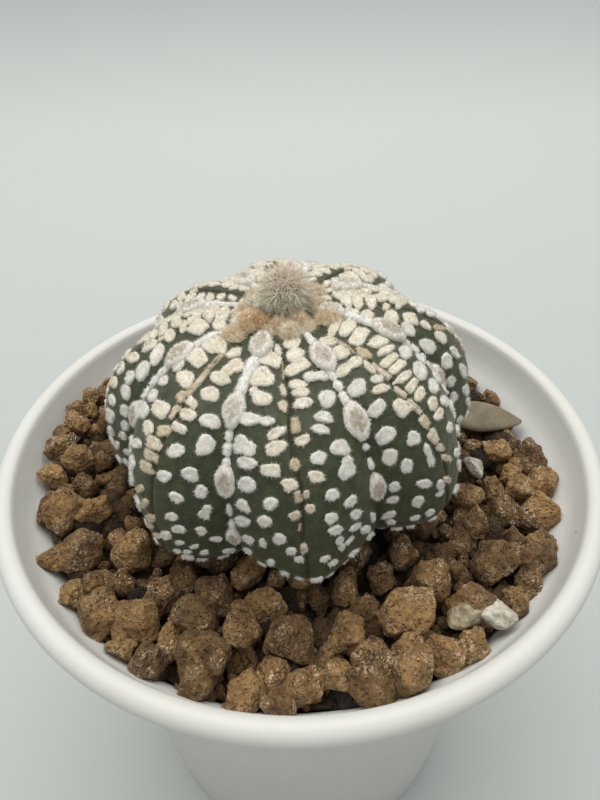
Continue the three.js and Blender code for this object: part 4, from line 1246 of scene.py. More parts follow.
def pot_mesh():
    """The pot turned on its axis, with a rolled rim, a flare below it, a foot ring and drainage holes."""
    flare = [(SHOULDER_RADIUS - 0.6, SHOULDER_Z - 6), (SHOULDER_RADIUS, SHOULDER_Z),
             *((RIM_RADIUS - inward, RIM_Z - below) for inward, below in FLARE)]
    for _ in range(2):  # rounds its corners
        cut = [flare[0]]
        for (r, z), (next_r, next_z) in zip(flare, flare[1:]):
            cut += [(0.75 * r + 0.25 * next_r, 0.75 * z + 0.25 * next_z),
                    (0.25 * r + 0.75 * next_r, 0.25 * z + 0.75 * next_z)]
        flare = [*cut, flare[-1]]
    outside = [(BASE_RADIUS - 0.5, 0), (BASE_RADIUS, 0.5), *flare]
    bead_centre = RIM_RADIUS - BEAD_RADIUS
    bead = []
    for angle in range(-104, 137, 10):
        bead.append((bead_centre + BEAD_RADIUS * math.cos(math.radians(angle)),
                     RIM_Z + BEAD_RADIUS * math.sin(math.radians(angle))))
    floor_z = FOOT_HEIGHT + FLOOR_THICKNESS
    under_bead = [(RIM_RADIUS - 3.4, RIM_Z + 0.5), (RIM_RADIUS - 3.9, RIM_Z - 0.8),
                  (RIM_RADIUS - 4.4, RIM_Z - 2.4)]
    floor_edge = BASE_RADIUS - WALL
    inside = under_bead + [(r - WALL, z + 0.4) for r, z in outside[2:] if z < RIM_Z - 4][::-1]
    inside += [(floor_edge + 0.4, floor_z + 1.2), (floor_edge - 0.3, floor_z + 0.25),
               (floor_edge - 1.4, floor_z)]
    foot_edge = BASE_RADIUS - FOOT_WIDTH
    foot = [(foot_edge - 0.9, FOOT_HEIGHT), (foot_edge - 0.3, FOOT_HEIGHT - 0.4), (foot_edge, 0.3),
            (foot_edge + 0.3, 0)]
    outline = foot + outside + bead + inside
    count = settings("pot").segments
    angles = np.arange(count) * 2 * math.pi / count
    points = np.concatenate([ring_at(angles, r, z) for r, z in outline]) * MM
    faces = grid_faces(len(outline), count)
    faces.append(tuple(range(count)))
    top = (len(outline) - 1) * count
    faces.append(tuple(range(top, top + count)))
    mesh = facing_out(mesh_of("pot", points, faces))
    # Drainage holes, cut through the floor.
    pot = linked("pot_blank", mesh)
    drill = bmesh.new()
    for i in range(HOLES + 1):
        angle = i * 2 * math.pi / HOLES
        out = HOLE_CIRCLE if i < HOLES else 0
        place = Matrix.Translation(Vector((out * math.cos(angle), out * math.sin(angle), FOOT_HEIGHT)) * MM)
        bmesh.ops.create_cone(drill, cap_ends=True, segments=32, radius1=HOLE_RADIUS * MM,
                              radius2=HOLE_RADIUS * MM, depth=8 * MM, matrix=place)
    drills = bpy.data.meshes.new("drills")
    drill.to_mesh(drills)
    drill.free()
    cutter = linked("drills", drills)
    cut = pot.modifiers.new("holes", "BOOLEAN")
    cut.operation = "DIFFERENCE"
    cut.solver = "EXACT"
    cut.object = cutter
    made = bpy.data.meshes.new_from_object(pot.evaluated_get(bpy.context.evaluated_depsgraph_get()))
    bpy.data.objects.remove(pot)
    bpy.data.objects.remove(cutter)
    return made


SKIN_HALF_COLUMNS, COLUMNS_CROWD = 24, 1.35  # toward the middle of each rib
SKIN_ROWS = 150
MOST_SWAY = 0.35  # of the seam, as a share of the rib's half width
SEAM_SHADE, SEAM_GROOVE, VALLEY_SHADE = 0.2, 0.3, 0.5  # half widths in millimetres; those of seam and valley are the widths of their painted shade
ROOT_TIP_Z = -40.5


def skin_rows():
    """Angles down the body at even steps along its surface."""
    fine = np.linspace(2, 158, 1500)
    steps = run_of(body_point(2, 0.4, fine))
    return np.interp(np.linspace(0, steps[-1], SKIN_ROWS), steps, fine)


def skin_grid():
    """The body's surface in rows: points in millimetres, normals, and the masks of the painted shade at seam
    and valley.
    """
    share = np.linspace(0, 1, SKIN_HALF_COLUMNS + 1) ** COLUMNS_CROWD
    across = np.concatenate([-share[::-1], share[1:-1]])
    ribs = np.repeat(np.arange(RIBS), len(across))
    across = np.tile(across, RIBS)
    downs = skin_rows()
    rib, line = np.meshgrid(ribs, downs)[0], np.tile(across, (len(downs), 1))
    down = np.repeat(downs[:, None], len(across), axis=1)
    widths = np.array([half_width(2, d) for d in downs])[:, None]
    sway = np.zeros_like(line)
    for swaying, places in SEAM_SWAY.items():
        strays = np.interp(np.interp(downs, MERIDIAN_DOWNS, MERIDIAN), *zip(*places))[:, None] / widths
        sway[:, ribs == swaying % RIBS] = np.clip(strays, -MOST_SWAY, MOST_SWAY)
    here, _, normal = body_frame(rib, line + sway * (1 - line ** 2), down)
    from_seam = np.abs(line) * widths
    from_valley = (1 - np.abs(line)) * widths
    clear = np.clip((down - 8) / 8, 0, 1)  # no crease at the crown itself
    seam = np.exp(-((from_seam / SEAM_SHADE) ** 2)) * clear
    groove = settings("plant").seam_depth / MM * np.exp(-((from_seam / SEAM_GROOVE) ** 2)) * clear
    valley = np.exp(-((from_valley / VALLEY_SHADE) ** 2))
    swell = 0.09 * ripple(here, 7.0, 17) + 0.05 * ripple(here, 2.6, 29)
    return here + normal * (swell - groove)[..., None], normal, seam, valley


def skin_mesh():
    grid, _, seam, valley = skin_grid()
    rows, columns = grid.shape[:2]
    points = grid.reshape(-1, 3)
    outward = unit((grid[-1] - np.array([SHIFT_X, 0, 0])) * np.array([1, 1, 0]))
    below = [outward * radius + np.array([SHIFT_X, 0, z]) for radius, z in ROOT_RINGS]
    points = np.concatenate([points, *below, [CROWN], [[SHIFT_X, 0, ROOT_TIP_Z]]])
    faces = [f[::-1] for f in grid_faces(rows + len(ROOT_RINGS), columns)]
    top, tip = len(points) - 2, len(points) - 1
    last = (rows + len(ROOT_RINGS) - 1) * columns
    faces += [(top, i, (i + 1) % columns) for i in range(columns)]
    faces += [(tip, last + (i + 1) % columns, last + i) for i in range(columns)]
    spare = len(points) - rows * columns
    seam, valley = (np.concatenate([mask.ravel(), np.zeros(spare)]) for mask in (seam, valley))
    return mesh_of("skin", placed(points), faces, seam=seam, valley=valley)


def hair_object(curved):
    """One hair, a unit high and a unit wide: a straight spike, or three-sided and bent over."""
    corners = [(0.5 * math.cos(a), 0.5 * math.sin(a)) for a in (0, 2 * math.pi / 3, 4 * math.pi / 3)]
    if not curved:
        points = [(x, y, 0) for x, y in corners] + [(0, 0, 1)]
        spike = mesh_of("hair", points, [(0, 1, 3), (1, 2, 3), (2, 0, 3), (0, 2, 1)])
        return bpy.data.objects.new("hair", spike)
    levels = 5
    points = []
    for level in range(levels):
        t = level / (levels - 1)
        bend = 0.34 * t * t
        for x, y in corners:  # the bend is in widths, and a hair is far longer than wide
            points.append((x * (1 - 0.85 * t) + bend * 18, y * (1 - 0.85 * t), t - 0.12 * bend))
    faces = grid_faces(levels, 3)
    faces += [(3 * levels - 3, 3 * levels - 2, 3 * levels - 1), (0, 2, 1)]
    return bpy.data.objects.new("hair", mesh_of("hair", points, faces))


def fuzzy(name, surface, material, length, density, lean, width, rim=0.0, seed=1, curved=False):
    hair = hair_object(curved)
    made = grown(name, surface, tree_named("star_cactus_fuzz", fuzz_tree), hair=hair, density=density,
                 length=length, width=width, lean=lean, rim_share=rim, seed=seed, material=material)
    bpy.data.objects.remove(hair)
    return made


def scattered(name, places, shapes, material, ground=None, **depths):
    if ground:
        depths.update(ground=ground, drape=True)
    return grown(name, places, tree_named("star_cactus_scatter", scatter_tree), shapes=shapes,
                 material=material, **depths)


class STAR_CACTUS_OT_pot(bpy.types.Operator):
    """Turn the white pot, with its rolled rim and drainage holes"""

    bl_idname = "star_cactus.pot"
    bl_label = "Pot"

    def execute(self, context):
        show("pot_shell", pot_mesh(), "pot", "pot", material=plastic_material())
        return {"FINISHED"}


class STAR_CACTUS_OT_skin(bpy.types.Operator):
    """Shape the plant's skin: eight ribs with a crease down each"""

    bl_idname = "star_cactus.skin"
    bl_label = "Skin"

    def execute(self, context):
        show("plant_skin", skin_mesh(), "cactus_skin", "cactus_body", material=skin_material())
        return {"FINISHED"}


class STAR_CACTUS_OT_flecks(bpy.types.Operator):
    """Set the felted flecks and the seams' dried scales on the skin"""

    bl_idname = "star_cactus.flecks"
    bl_label = "Flecks"

    def execute(self, context):
        user = settings("plant")
        skin = bpy.data.objects["plant_skin"]
        shapes = shape_collection("fleck_shapes", fleck_shapes())
        flecks = scattered("white_flecks", fleck_places(), shapes, felt(), skin, coarse_depth=0.00022,
                           coarse_scale=1500.0, fine_depth=0.00024, fine_scale=3900.0)
        scales = scattered("seam_scales", scale_places(), shapes, felt(), skin, coarse_depth=0.00014,
                           coarse_scale=1800.0, fine_depth=0.00015, fine_scale=4200.0)
        drop_collection(shapes)
        for number in (1, 2):
            fuzz = fuzzy("fleck_fuzz", flecks.copy(), felt(), user.fuzz_length, user.fuzz_density / 2,
                         lean=1.0, width=0.00006, rim=1.8, seed=number)
            show(f"fleck_fuzz_{number}", fuzz, "wool", "cactus_body", smooth=False)
        show("fleck_pads", flecks, "wool", "cactus_body")
        show("seam_scales", scales, "wool", "cactus_body")
        return {"FINISHED"}


def areole_places():
    draw = dice(641)
    places = []
    for halves, downs in AREOLES.items():
        for down in downs:
            here, along, normal = valley_frame(halves, float(max(down, 6)))
            length = (5.4 if down < 60 else 4.6) * (0.92 + 0.16 * draw())
            width = (3.4 if down < 60 else 3.0) * (0.92 + 0.16 * draw())
            if down < 12:
                length, width = length * 0.8, width * 0.95
            if down > 84:
                length, width = length * 0.7, width * 0.8
            places.append((here + normal * 0.3, along, normal, 0.12 * (draw() - 0.5),
                           (width, length, 1.0), int(draw() * 2.99), 0.6 + 0.5 * draw()))
    return settle(places)


def areole_shapes():
    draw = dice(87)
    rings = ((0.3, 1.0, 1.0), (0.52, 0.94, 0.8), (0.7, 0.9, 0.15), (0.92, 0.6, 0.0), (1.0, 0.05, 0.0),
             (0.9, -1.3, -1.0))
    outlines = [spindle_outline(26, pointed) for pointed in (0.35, 0.5, 0.6)]
    return [pad_mesh("areole", ragged(outline, draw, 0.05), rings, draw) for outline in outlines]


STRUNG_TO, USUAL_LAST, DASHES_TO = 68, 92, 105  # degrees down from the crown


def felt_lines():
    """Lines of points down the valleys that the felt follows, and its half thickness at each."""
    points, edges, thick = [], [], []
    draw = dice(277)

    def follow(place, half, onward):
        points.append(place)
        thick.append(half)
        if onward:
            edges.append((len(points) - 2, len(points) - 1))

    for halves, downs in AREOLES.items():
        strung = [d for d in downs if d < STRUNG_TO]
        first, last = 6.0, strung[-1] + 7
        steps = np.arange(first, last, 1.2)
        until_pinch = 3
        for i, down in enumerate(steps):
            here, _, normal = valley_frame(halves, float(down))
            upper = down < strung[-2] if len(strung) > 1 else False
            usual = (0.45 if down < 16 else 0.74 if upper else 0.6) * (0.9 + 0.2 * draw())
            until_pinch -= 1
            if until_pinch < 0:
                usual *= 0.8 if upper else 0.45
                until_pinch = 3 + int(4 * draw())
            follow(here - normal * 0.1, 1.22 * usual * min(1, (last - down) / 3 + 0.3), i)
        # Below the last areole, the felt is broken up into dashes.
        down = last + 3
        while down < min(DASHES_TO, downs[-1] if downs[-1] > STRUNG_TO else USUAL_LAST):
            size = 2.5 + 3 * draw()
            for i in range(4):
                here, _, normal = valley_frame(halves, float(down + size * i / 3))
                follow(here + normal * 0.15, 0.5 * (0.55 if i in (0, 3) else 1.0), i)
            down += size + 1.5 + 2.5 * draw()
    return mesh_of("felt_lines", placed(points), [], edges, thick=np.array(thick) * MM)


class STAR_CACTUS_OT_areoles(bpy.types.Operator):
    """Lay the felt down the valleys, with its areoles"""

    bl_idname = "star_cactus.areoles"
    bl_label = "Areoles"

    def execute(self, context):
        user = settings("plant")
        wool = felt_material("areole_felt", (0.78, 0.77, 0.73), (0.77, 0.74, 0.68), (0.45, 0.39, 0.30),
                             white_heart=0.0, cream_heart=1.0, even=0.7)
        shapes = shape_collection("areole_shapes", areole_shapes())
        pads = scattered("areole_pads", areole_places(), shapes, wool, coarse_depth=0.0003,
                         coarse_scale=1100.0, fine_depth=0.00014, fine_scale=4000.0)
        drop_collection(shapes)
        cords = grown("felt_strips", felt_lines(), tree_named("star_cactus_cord", cord_tree), material=wool)
        pad_fuzz = fuzzy("areole_fuzz", pads.copy(), wool, user.fuzz_length, user.fuzz_density, lean=0.9,
                         width=0.00008, rim=0.8)
        cord_fuzz = fuzzy("felt_fuzz", cords.copy(), wool, user.fuzz_length * 1.1, user.fuzz_density,
                          lean=1.0, width=0.00008)
        show("areole_pads", pads, "wool", "areole_wool")
        show("felt_strips", cords, "wool", "areole_wool")
        show("areole_fuzz", pad_fuzz, "wool", "areole_wool", smooth=False)
        show("felt_fuzz", cord_fuzz, "wool", "areole_wool", smooth=False)
        return {"FINISHED"}


# Pads of young wool round the bud: place in plan, width, length, height, turn in degrees and tint.
CROWN_PADS = [
    (-6.3, -3.0, 4.0, 3.8, 1.9, 40, 0.95), (-8.8, -4.8, 3.2, 3.8, 1.3, 50, 0.45),
    (-0.8, -6.2, 3.0, 2.6, 1.7, 0, 0.3), (4.6, -3.2, 3.0, 4.0, 1.2, -55, 0.55),
    (-4.3, -3.8, 2.6, 2.4, 1.5, 20, 1.5), (-3.6, -5.4, 2.8, 2.4, 1.0, 20, 0.3),
    (1.8, -5.0, 2.2, 2.0, 0.9, -20, 0.25), (-6.8, 0.8, 3.2, 3.2, 1.2, 80, 0.5),
    (3.4, -0.4, 3.0, 3.0, 1.2, -80, 0.4), (2.8, 3.4, 3.2, 3.2, 1.2, 130, 0.3),
    (-1.8, 5.1, 3.4, 3.0, 1.2, 180, 0.3), (-5.6, 4.0, 3.2, 3.2, 1.2, 140, 0.4),
    (0.4, -3.8, 2.8, 2.4, 1.6, -20, 0.6), (-8.0, -1.4, 2.4, 2.6, 0.9, 70, 0.2),
    (-2.2, -4.2, 2.6, 2.4, 1.6, 0, 0.7),
]


def crown_places():
    grid, normals = skin_grid()[:2]
    flat, facing = grid.reshape(-1, 3), normals.reshape(-1, 3)
    upper = flat[:, 2] > EQUATOR
    flat, facing = flat[upper], facing[upper]
    draw = dice(733)
    places = []
    for x, y, width, length, height, turn, tint in CROWN_PADS:
        nearest = int(np.argmin((flat[:, 0] - x) ** 2 + (flat[:, 1] - y) ** 2))
        normal = unit(facing[nearest] + np.array([0, 0, 1.5]))
        along = unit(np.cross(np.array([0, 1.0, 0]), normal))
        places.append((flat[nearest] - 0.2 * normal, along, normal, math.radians(turn),
                       (width, length, height), int(draw() * 3.99), tint))
    return settle(places)


def wool_shapes():
    draw = dice(401)
    rings = ((0.3, 1.0, 1.0), (0.6, 0.86, 0.7), (0.85, 0.52, 0.25), (1.0, 0.1, 0.0), (0.95, -0.6, -1.0))
    return [pad_mesh("wool", circles_outline(clustered(draw, 0.43, 3, 0.12, 0.34, 0.05), 20), rings, draw)
            for _ in range(4)]


class STAR_CACTUS_OT_crown_wool(bpy.types.Operator):
    """Pack young wool round the foot of the bud"""

    bl_idname = "star_cactus.crown_wool"
    bl_label = "Crown wool"

    def execute(self, context):
        user = settings("plant")
        wool = felt_material("young_wool", (0.86, 0.80, 0.66), (0.82, 0.65, 0.42), (0.56, 0.33, 0.13),
                             white_heart=0.1, cream_heart=0.35, even=0.5)
        shapes = shape_collection("wool_shapes", wool_shapes())
        pads = scattered("crown_wool", crown_places(), shapes, wool, coarse_depth=0.0006, coarse_scale=900.0,
                         fine_depth=0.0002, fine_scale=3500.0)
        drop_collection(shapes)
        fuzz = fuzzy("crown_fuzz", pads.copy(), wool, user.fuzz_length * 2.4, user.fuzz_density * 2.4,
                     lean=0.5, width=0.00009, seed=4)
        show("crown_wool", pads, "wool", "areole_wool")
        show("crown_fuzz", fuzz, "wool", "areole_wool", smooth=False)
        return {"FINISHED"}


BARE_BELOW, BRISTLES_FROM = -0.55, 0.62  # heights from the bud's middle, as shares of its radius


def bud_core_mesh():
    """The bud under its hair: an upright ball, whose lowest part grows no hair."""
    points, faces = ball(4)
    core = np.where(points[:, 2] > BARE_BELOW, 1.0, -1.0)
    shaped = points * np.array([0.86, 0.86, 1.04]) * BUD_CORE
    shaped += unit(points) * (0.25 * ripple(shaped, 2.2, 61))[:, None]
    shaped += np.array([CROWN[0] + 0.4, CROWN[1], BUD_Z])
    return mesh_of("bud", placed(shaped), faces, core=core, tint=np.full(len(points), 1.0))


class STAR_CACTUS_OT_bud(bpy.types.Operator):
    """Grow the woolly flower bud"""

    bl_idname = "star_cactus.bud"
    bl_label = "Flower bud"

    def execute(self, context):
        user = settings("bud")
        tip = (RIM_Z + BUD_Z + 2.2) * MM
        hair = hair_material("bud_hair", tuple(user.grey), tuple(user.pink), tip, 0.0016)
        bristle = hair_material("bud_bristle", (0.10, 0.075, 0.045), (0.07, 0.05, 0.035), tip, 0.003)
        core = bud_core_mesh()
        fur = fuzzy("bud_fur", core.copy(), hair, user.hair_length, user.hair_density, lean=0.42,
                    width=0.00014, seed=9, curved=True)
        cap = core.copy()
        z = np.array([v.co.z for v in cap.vertices])
        high = z > (RIM_Z + BUD_Z + BRISTLES_FROM * BUD_CORE) * MM
        cap.attributes["core"].data.foreach_set("value", np.where(high, 1.0, -1.0).astype(np.float32))
        bristles = fuzzy("bud_bristles", cap, bristle, user.hair_length * 1.1, user.hair_density / 28,
                         lean=0.3, width=0.0001, seed=2, curved=True)
        under = hair_material("bud_skin", (0.26, 0.23, 0.15), (0.32, 0.22, 0.15), tip, 0.0016)
        show("bud_core", core, "bud_hair", "flower_bud", material=under)
        show("bud_fur", fur, "bud_hair", "flower_bud", smooth=False)
        show("bud_bristles", bristles, "bud_hair", "flower_bud", smooth=False)
        return {"FINISHED"}


# The lumps that are seen best: degrees from the front, distance from the axis, and size.
SEEN_GRAINS = [
    (-3, 33.5, 8), (10, 34, 7), (16, 30.5, 5), (14, 26, 5.5), (27, 26.5, 5), (26, 33.5, 8.5), (38, 31, 7),
    (40, 38, 8), (54, 36, 8), (14, 38.5, 7), (22, 39, 7), (28, 41, 6), (6.5, 39, 5), (0, 40, 6),
    (12, 43, 7), (20.5, 42.5, 8), (33, 42, 5.5), (48, 41, 5), (58, 40.5, 7), (53, 43, 5), (46, 43, 4.5),
    (63, 42, 6), (63.5, 31, 5), (62, 37, 5), (70, 35, 6), (71.5, 39, 5), (73, 42.5, 7), (78, 33, 5),
    (79, 38, 6), (82, 42, 6), (84.5, 36, 4.5), (93, 35, 5.5), (93, 41, 5), (89.5, 43, 4), (114, 42, 4),
    (122, 41.5, 4), (-10.5, 28.5, 6), (-15.5, 33, 6.5), (-26, 29.5, 7), (-27, 34, 7), (-37, 29, 5),
    (-38, 34, 6), (-20, 38, 8), (-20, 42.5, 6), (-10.5, 41.5, 6.5), (-6, 38.5, 5), (-11, 44, 5),
    (-5, 44, 5), (-29, 38.5, 5), (-30, 42, 6), (-37.5, 38.5, 8.5), (-37, 43.5, 5), (-45.5, 41.5, 7),
    (-49, 35, 5), (-52, 37.5, 5), (-53, 43, 5), (-55, 31, 7.5), (-62, 37.5, 7), (-62.5, 42.5, 6),
    (-72, 34, 6), (-74, 38.5, 7.5), (-76, 42.5, 6), (-80.5, 35, 5), (-85, 41.5, 5), (-89, 37, 6),
    (-93, 41.5, 5.5), (-101, 40, 5), (-111, 42.5, 4.5), (-114, 39.5, 5), (-119, 43.5, 3.8),
    (-105, 43, 4.6), (-107, 39.5, 3.6), (-124, 42, 4.4), (-97, 43.5, 4.2),
]
SEEN_SIZE = 0.92  # as a share of the listed size
SEEN_SIDE, SEEN_REAR, LEFT_OUTWARD, RIGHT_OUTWARD = 45, 110, 1.4, 0.8  # those at the sides lie farther out
# Millimetres from the axis between which the rest is strewn: lumps, small ones, those underneath, crumbs.
LUMPS_FROM, SMALL_FROM, UNDER_FROM, UNDER_TO, CRUMBS_TO = 20, 21, 17, 41.5, 43.2
LUMP_TRIES, SMALL_TRIES, UNDER_COUNT, CRUMB_COUNT = 900, 1500, 190, 900
# Place from the middle of the rim's plane, size, turn in degrees and how far the stone narrows to a point.
STONES = {
    "flat_stone": ((34.2, 10.2, -4.3), (15.6, 8, 3.2), -12.6, 0.55),
    "pale_stone_1": ((27.2, -31, -3.9), (5.6, 3.9, 3.3), -28, 0),
    "pale_stone_2": ((22.4, -31.4, -4.1), (4.8, 4.1, 3.5), 20, 0),
    "pale_stone_3": ((30.4, -3.2, -4.2), (2.8, 4.2, 2.8), 25, 0),
}


def grain_places():
    """The seen lumps, then others dropped at random where there is room: (x, y), size."""
    draw = dice(4127)
    places = []
    for angle, radius, size in SEEN_GRAINS:
        outward = LEFT_OUTWARD if angle < -SEEN_SIDE else 0
        if SEEN_SIDE < angle < SEEN_REAR:
            outward = RIGHT_OUTWARD
        places.append((polar(angle, min(radius + outward, SOIL_EDGE - 0.4 * size)), SEEN_SIZE * size, True))
    for at, size, _, _ in STONES.values():
        places.append((np.array(at[:2], float), size[1], None))
    for _ in range(LUMP_TRIES):
        size = 5.4 + 2.6 * draw()
        at = polar(360 * draw(), spread_radius(LUMPS_FROM, SOIL_EDGE - size / 2, draw()))
        if all(np.linalg.norm(other - at) > 0.5 * (room + size) for other, room, _ in places):
            places.append((at, size, False))
    for _ in range(SMALL_TRIES):  # in the gaps
        size = 2.8 + 1.6 * draw()
        at = polar(360 * draw(), spread_radius(SMALL_FROM, SOIL_EDGE - size / 2, draw()))
        if all(np.linalg.norm(other - at) > 0.42 * (room + size) for other, room, _ in places):
            places.append((at, size, "small"))
    return [place for place in places if place[2] is not None]


def lump_mesh(name, level, draw, cuts, sharp=18.0):
    """A lump of grit, one unit across: a ball cut by planes, with its edges worn round."""
    points, faces = ball(level)
    planes = []
    while len(planes) < cuts:
        way = np.array([draw() - 0.5, draw() - 0.5, draw() - 0.5])
        way /= np.linalg.norm(way)
        if all(way @ other < 0.72 for other, _ in planes):
            planes.append((way, 0.74 + 0.34 * draw()))
    total = sum(np.maximum(0, points @ way / reach) ** sharp for way, reach in planes)
    radius = np.minimum((total + 1e-6) ** (-1 / sharp), 1.25)
    radius *= 0.5 / radius.mean()
    for share, wavelength in ((0.06, 11), (0.03, 4.5)):
        radius *= 1 + share * ripple(points * 10, wavelength, int(draw() * 9999))
    return mesh_of(name, points * radius[:, None], faces)


def heaped(at):
    """How much higher than usual the grit lies at a place in plan."""
    x, y = np.moveaxis(np.asarray(at, float)[..., :2], -1, 0)
    off = (np.degrees(np.arctan2(x, -y)) - HEAP_BEARING) / HEAP_SPREAD
    return HEAP * np.exp(-off ** 2) * np.clip((np.hypot(x, y) - 26) / 8, 0, 1)


def inner_radius(z):
    """Radius of the pot's inner side at a height over the rim's plane."""
    return np.interp(z + RIM_Z, *zip(*INNER_WALL))


def kept_inside(mesh):
    """Presses what would reach through the pot's wall flat against its inner side."""
    flat = np.empty(3 * len(mesh.vertices), np.float32)
    mesh.vertices.foreach_get("co", flat)
    points = flat.reshape(-1, 3)
    radius = np.maximum(np.hypot(points[:, 0], points[:, 1]) / MM, 0.1)
    most = inner_radius(points[:, 2] / MM - RIM_Z) + 0.15
    points[:, :2] *= np.minimum(1, most / radius)[:, None]
    mesh.vertices.foreach_set("co", points.ravel())
    return mesh


LUMP_SIDES = ((0.98, 0.16), (0.82, 0.14), (0.78, 0.12))  # least share of a lump's size, and how far it runs


def lump_places(chosen, draw, sink=0.0, tone=0.0):
    """Points mesh for lumps, each with a size, a turn and a tone of its own."""
    points, turns, sizes, shapes, tints = [], [], [], [], []
    for at, size, _ in chosen:
        z = SOIL_TOP + 0.25 * size + 0.5 * (draw() - 0.5) - sink + heaped(at)
        at = at * min(1, (inner_radius(z) - 0.42 * size) / np.linalg.norm(at))
        points.append((at[0], at[1], z))
        turns.append([ROUND * draw() for _ in range(3)])
        sizes.append([size * (least + run * draw()) for least, run in LUMP_SIDES])
        shapes.append(int(draw() * 11.99))
        # tone lowers the tints of lumps that lie lower, as painted shade
        tints.append(1.8 * draw() - 0.8 + tone)
    return mesh_of("lumps", placed(points), [], turn=np.array(turns), size=np.array(sizes) * MM,
                   shape=np.array(shapes, int), tint=np.array(tints))


def bearing(at):
    """Degrees from the front of a place in plan."""
    return math.degrees(math.atan2(at[0], -at[1]))


def shapes_for(name, level, draw):
    """Twelve lumps, cut by eight to twelve planes."""
    return shape_collection(name, [lump_mesh("lump", level, draw, 8 + i % 5) for i in range(12)])


FRONT = 34  # degrees either way


class STAR_CACTUS_OT_lumps(bpy.types.Operator):
    """Heap the lumps of grit on the soil"""

    bl_idname = "star_cactus.lumps"
    bl_label = "Lumps of grit"

    def execute(self, context):
        user = settings("soil")
        grit = bpy.data.materials.get("brown_grit") or soil_material()
        fine = shapes_for("lump_fine", 5, dice(97))
        plain = shapes_for("lump_plain", 4, dice(97))
        places = grain_places()
        draw = dice(611)
        rough = dict(coarse_depth=user.roughness, coarse_scale=430.0, fine_depth=user.roughness * 0.75,
                     fine_scale=1300.0, pit_depth=user.roughness * 0.25, pit_scale=1100.0)
        seen = [p for p in places if p[2] is True]
        sides = {
            "front": (fine, [p for p in seen if abs(bearing(p[0])) < FRONT]),
            "right": (fine, [p for p in seen if bearing(p[0]) >= FRONT]),
            "left": (fine, [p for p in seen if bearing(p[0]) <= -FRONT]),
            "back": (plain, [p for p in places if not p[2]]),
        }
        for side, (shapes, chosen) in sides.items():
            lumps = scattered("soil_lumps_" + side, lump_places(chosen, draw), shapes, grit, **rough)
            show("soil_lumps_" + side, kept_inside(lumps), "soil", "soil")
        # The layer under them, seen in the gaps, with a low tint that is painted shade.
        under = []
        spread = dice(5309)
        while len(under) < UNDER_COUNT:
            at = polar(360 * spread(), spread_radius(UNDER_FROM, UNDER_TO, spread()))
            under.append((at, 3.6 + 2.6 * spread(), False))
        low = shapes_for("lump_low", 3, draw)
        # The small lumps lie lower and get a lower tint, as painted shade.
        small = lump_places([p for p in places if p[2] == "small"], draw, 0.9, -0.4)
        small = scattered("soil_lumps_small", small, low, grit, **rough)
        show("soil_lumps_small", kept_inside(small), "soil", "soil")
        layer = scattered("soil_layer", lump_places(under, draw, 2.5, -1.5), low, grit, **rough)
        show("soil_layer", kept_inside(layer), "soil", "soil")
        for collection in (fine, plain, low):
            drop_collection(collection)
        return {"FINISHED"}


def bed_mesh():
    """The soil under the lumps: a disc with a broken top, and sides that follow the pot down to its floor."""
    rings, count = 40, 160
    angles = np.arange(count) * 2 * math.pi / count
    points = []
    for i in range(rings):
        r = 6 + (BED_EDGE - 6) * i / (rings - 1)
        ring = ring_at(angles, r, SOIL_TOP - 2.0)
        ring[:, 2] += 0.9 * ripple(ring, 4.0, 5) + 0.4 * ripple(ring, 1.6, 9) + heaped(ring)
        points.append(ring)
    for r, z in ((SHOULDER_RADIUS + 1.4, RIM_Z - 10), (SHOULDER_RADIUS - 1.8, SHOULDER_Z),
                 (BASE_RADIUS - WALL - 1.0, FOOT_HEIGHT + FLOOR_THICKNESS + 0.5)):
        points.append(ring_at(angles, r, z - RIM_Z))
    total = len(points)
    faces = grid_faces(total, count)
    faces.append(tuple(range(count)))
    faces.append(tuple(range((total - 1) * count, total * count)))
    # Painted shade: the bed's low tint paints it nearly black, as the shade deep in the gaps.
    tint = np.full(total * count, -1.7)
    return facing_out(mesh_of("bed", placed(np.concatenate(points)), faces, tint=tint))


class STAR_CACTUS_OT_bed(bpy.types.Operator):
    """Fill the pot and strew crumbs over the filling"""

    bl_idname = "star_cactus.bed"
    bl_label = "Soil bed"

    def execute(self, context):
        grit = bpy.data.materials.get("brown_grit") or soil_material()
        draw = dice(1777)
        crumbs = []
        while len(crumbs) < CRUMB_COUNT:
            at = polar(360 * draw(), spread_radius(SMALL_FROM, CRUMBS_TO, draw()))
            crumbs.append((at, 0.9 + 1.7 * draw() ** 2, False))
        # The crumbs lie lower and get a lower tint, as painted shade.
        places = lump_places(crumbs, draw, 1.6, -0.5)
        shapes = shape_collection("crumbs", [lump_mesh("crumb", 2, draw, 7) for _ in range(12)])
        strewn = scattered("soil_crumbs", places, shapes, grit, coarse_depth=0.0004, coarse_scale=900.0)
        drop_collection(shapes)
        show("soil_bed", bed_mesh(), "soil", "soil", material=grit)
        show("soil_crumbs", kept_inside(strewn), "soil", "soil")
        return {"FINISHED"}


def stone_mesh(size, turn, point, at, seed):
    """A stone at its place: a worn lump, or a smooth flat pebble that narrows to a point."""
    if point:
        points, faces = ball(5, 0.5)
        slim = 1 - point * 0.8 * np.maximum(0, 2 * points[:, 0]) ** 1.5
        points = points * np.stack([np.ones(len(points)), slim, slim], axis=1)
        points *= 1 + 0.02 * ripple(points * 10, 6, seed)[:, None]
    else:
        held = lump_mesh("stone", 5, dice(seed), 9, 8.0)
        points = np.array([v.co[:] for v in held.vertices])
        faces = [list(p.vertices) for p in held.polygons]
    angle = math.radians(turn)
    points = points * np.array(size)
    turned = np.stack([points[:, 0] * math.cos(angle) - points[:, 1] * math.sin(angle),
                       points[:, 0] * math.sin(angle) + points[:, 1] * math.cos(angle), points[:, 2]], axis=1)
    return mesh_of("stone", placed(turned + np.array(at)), faces)


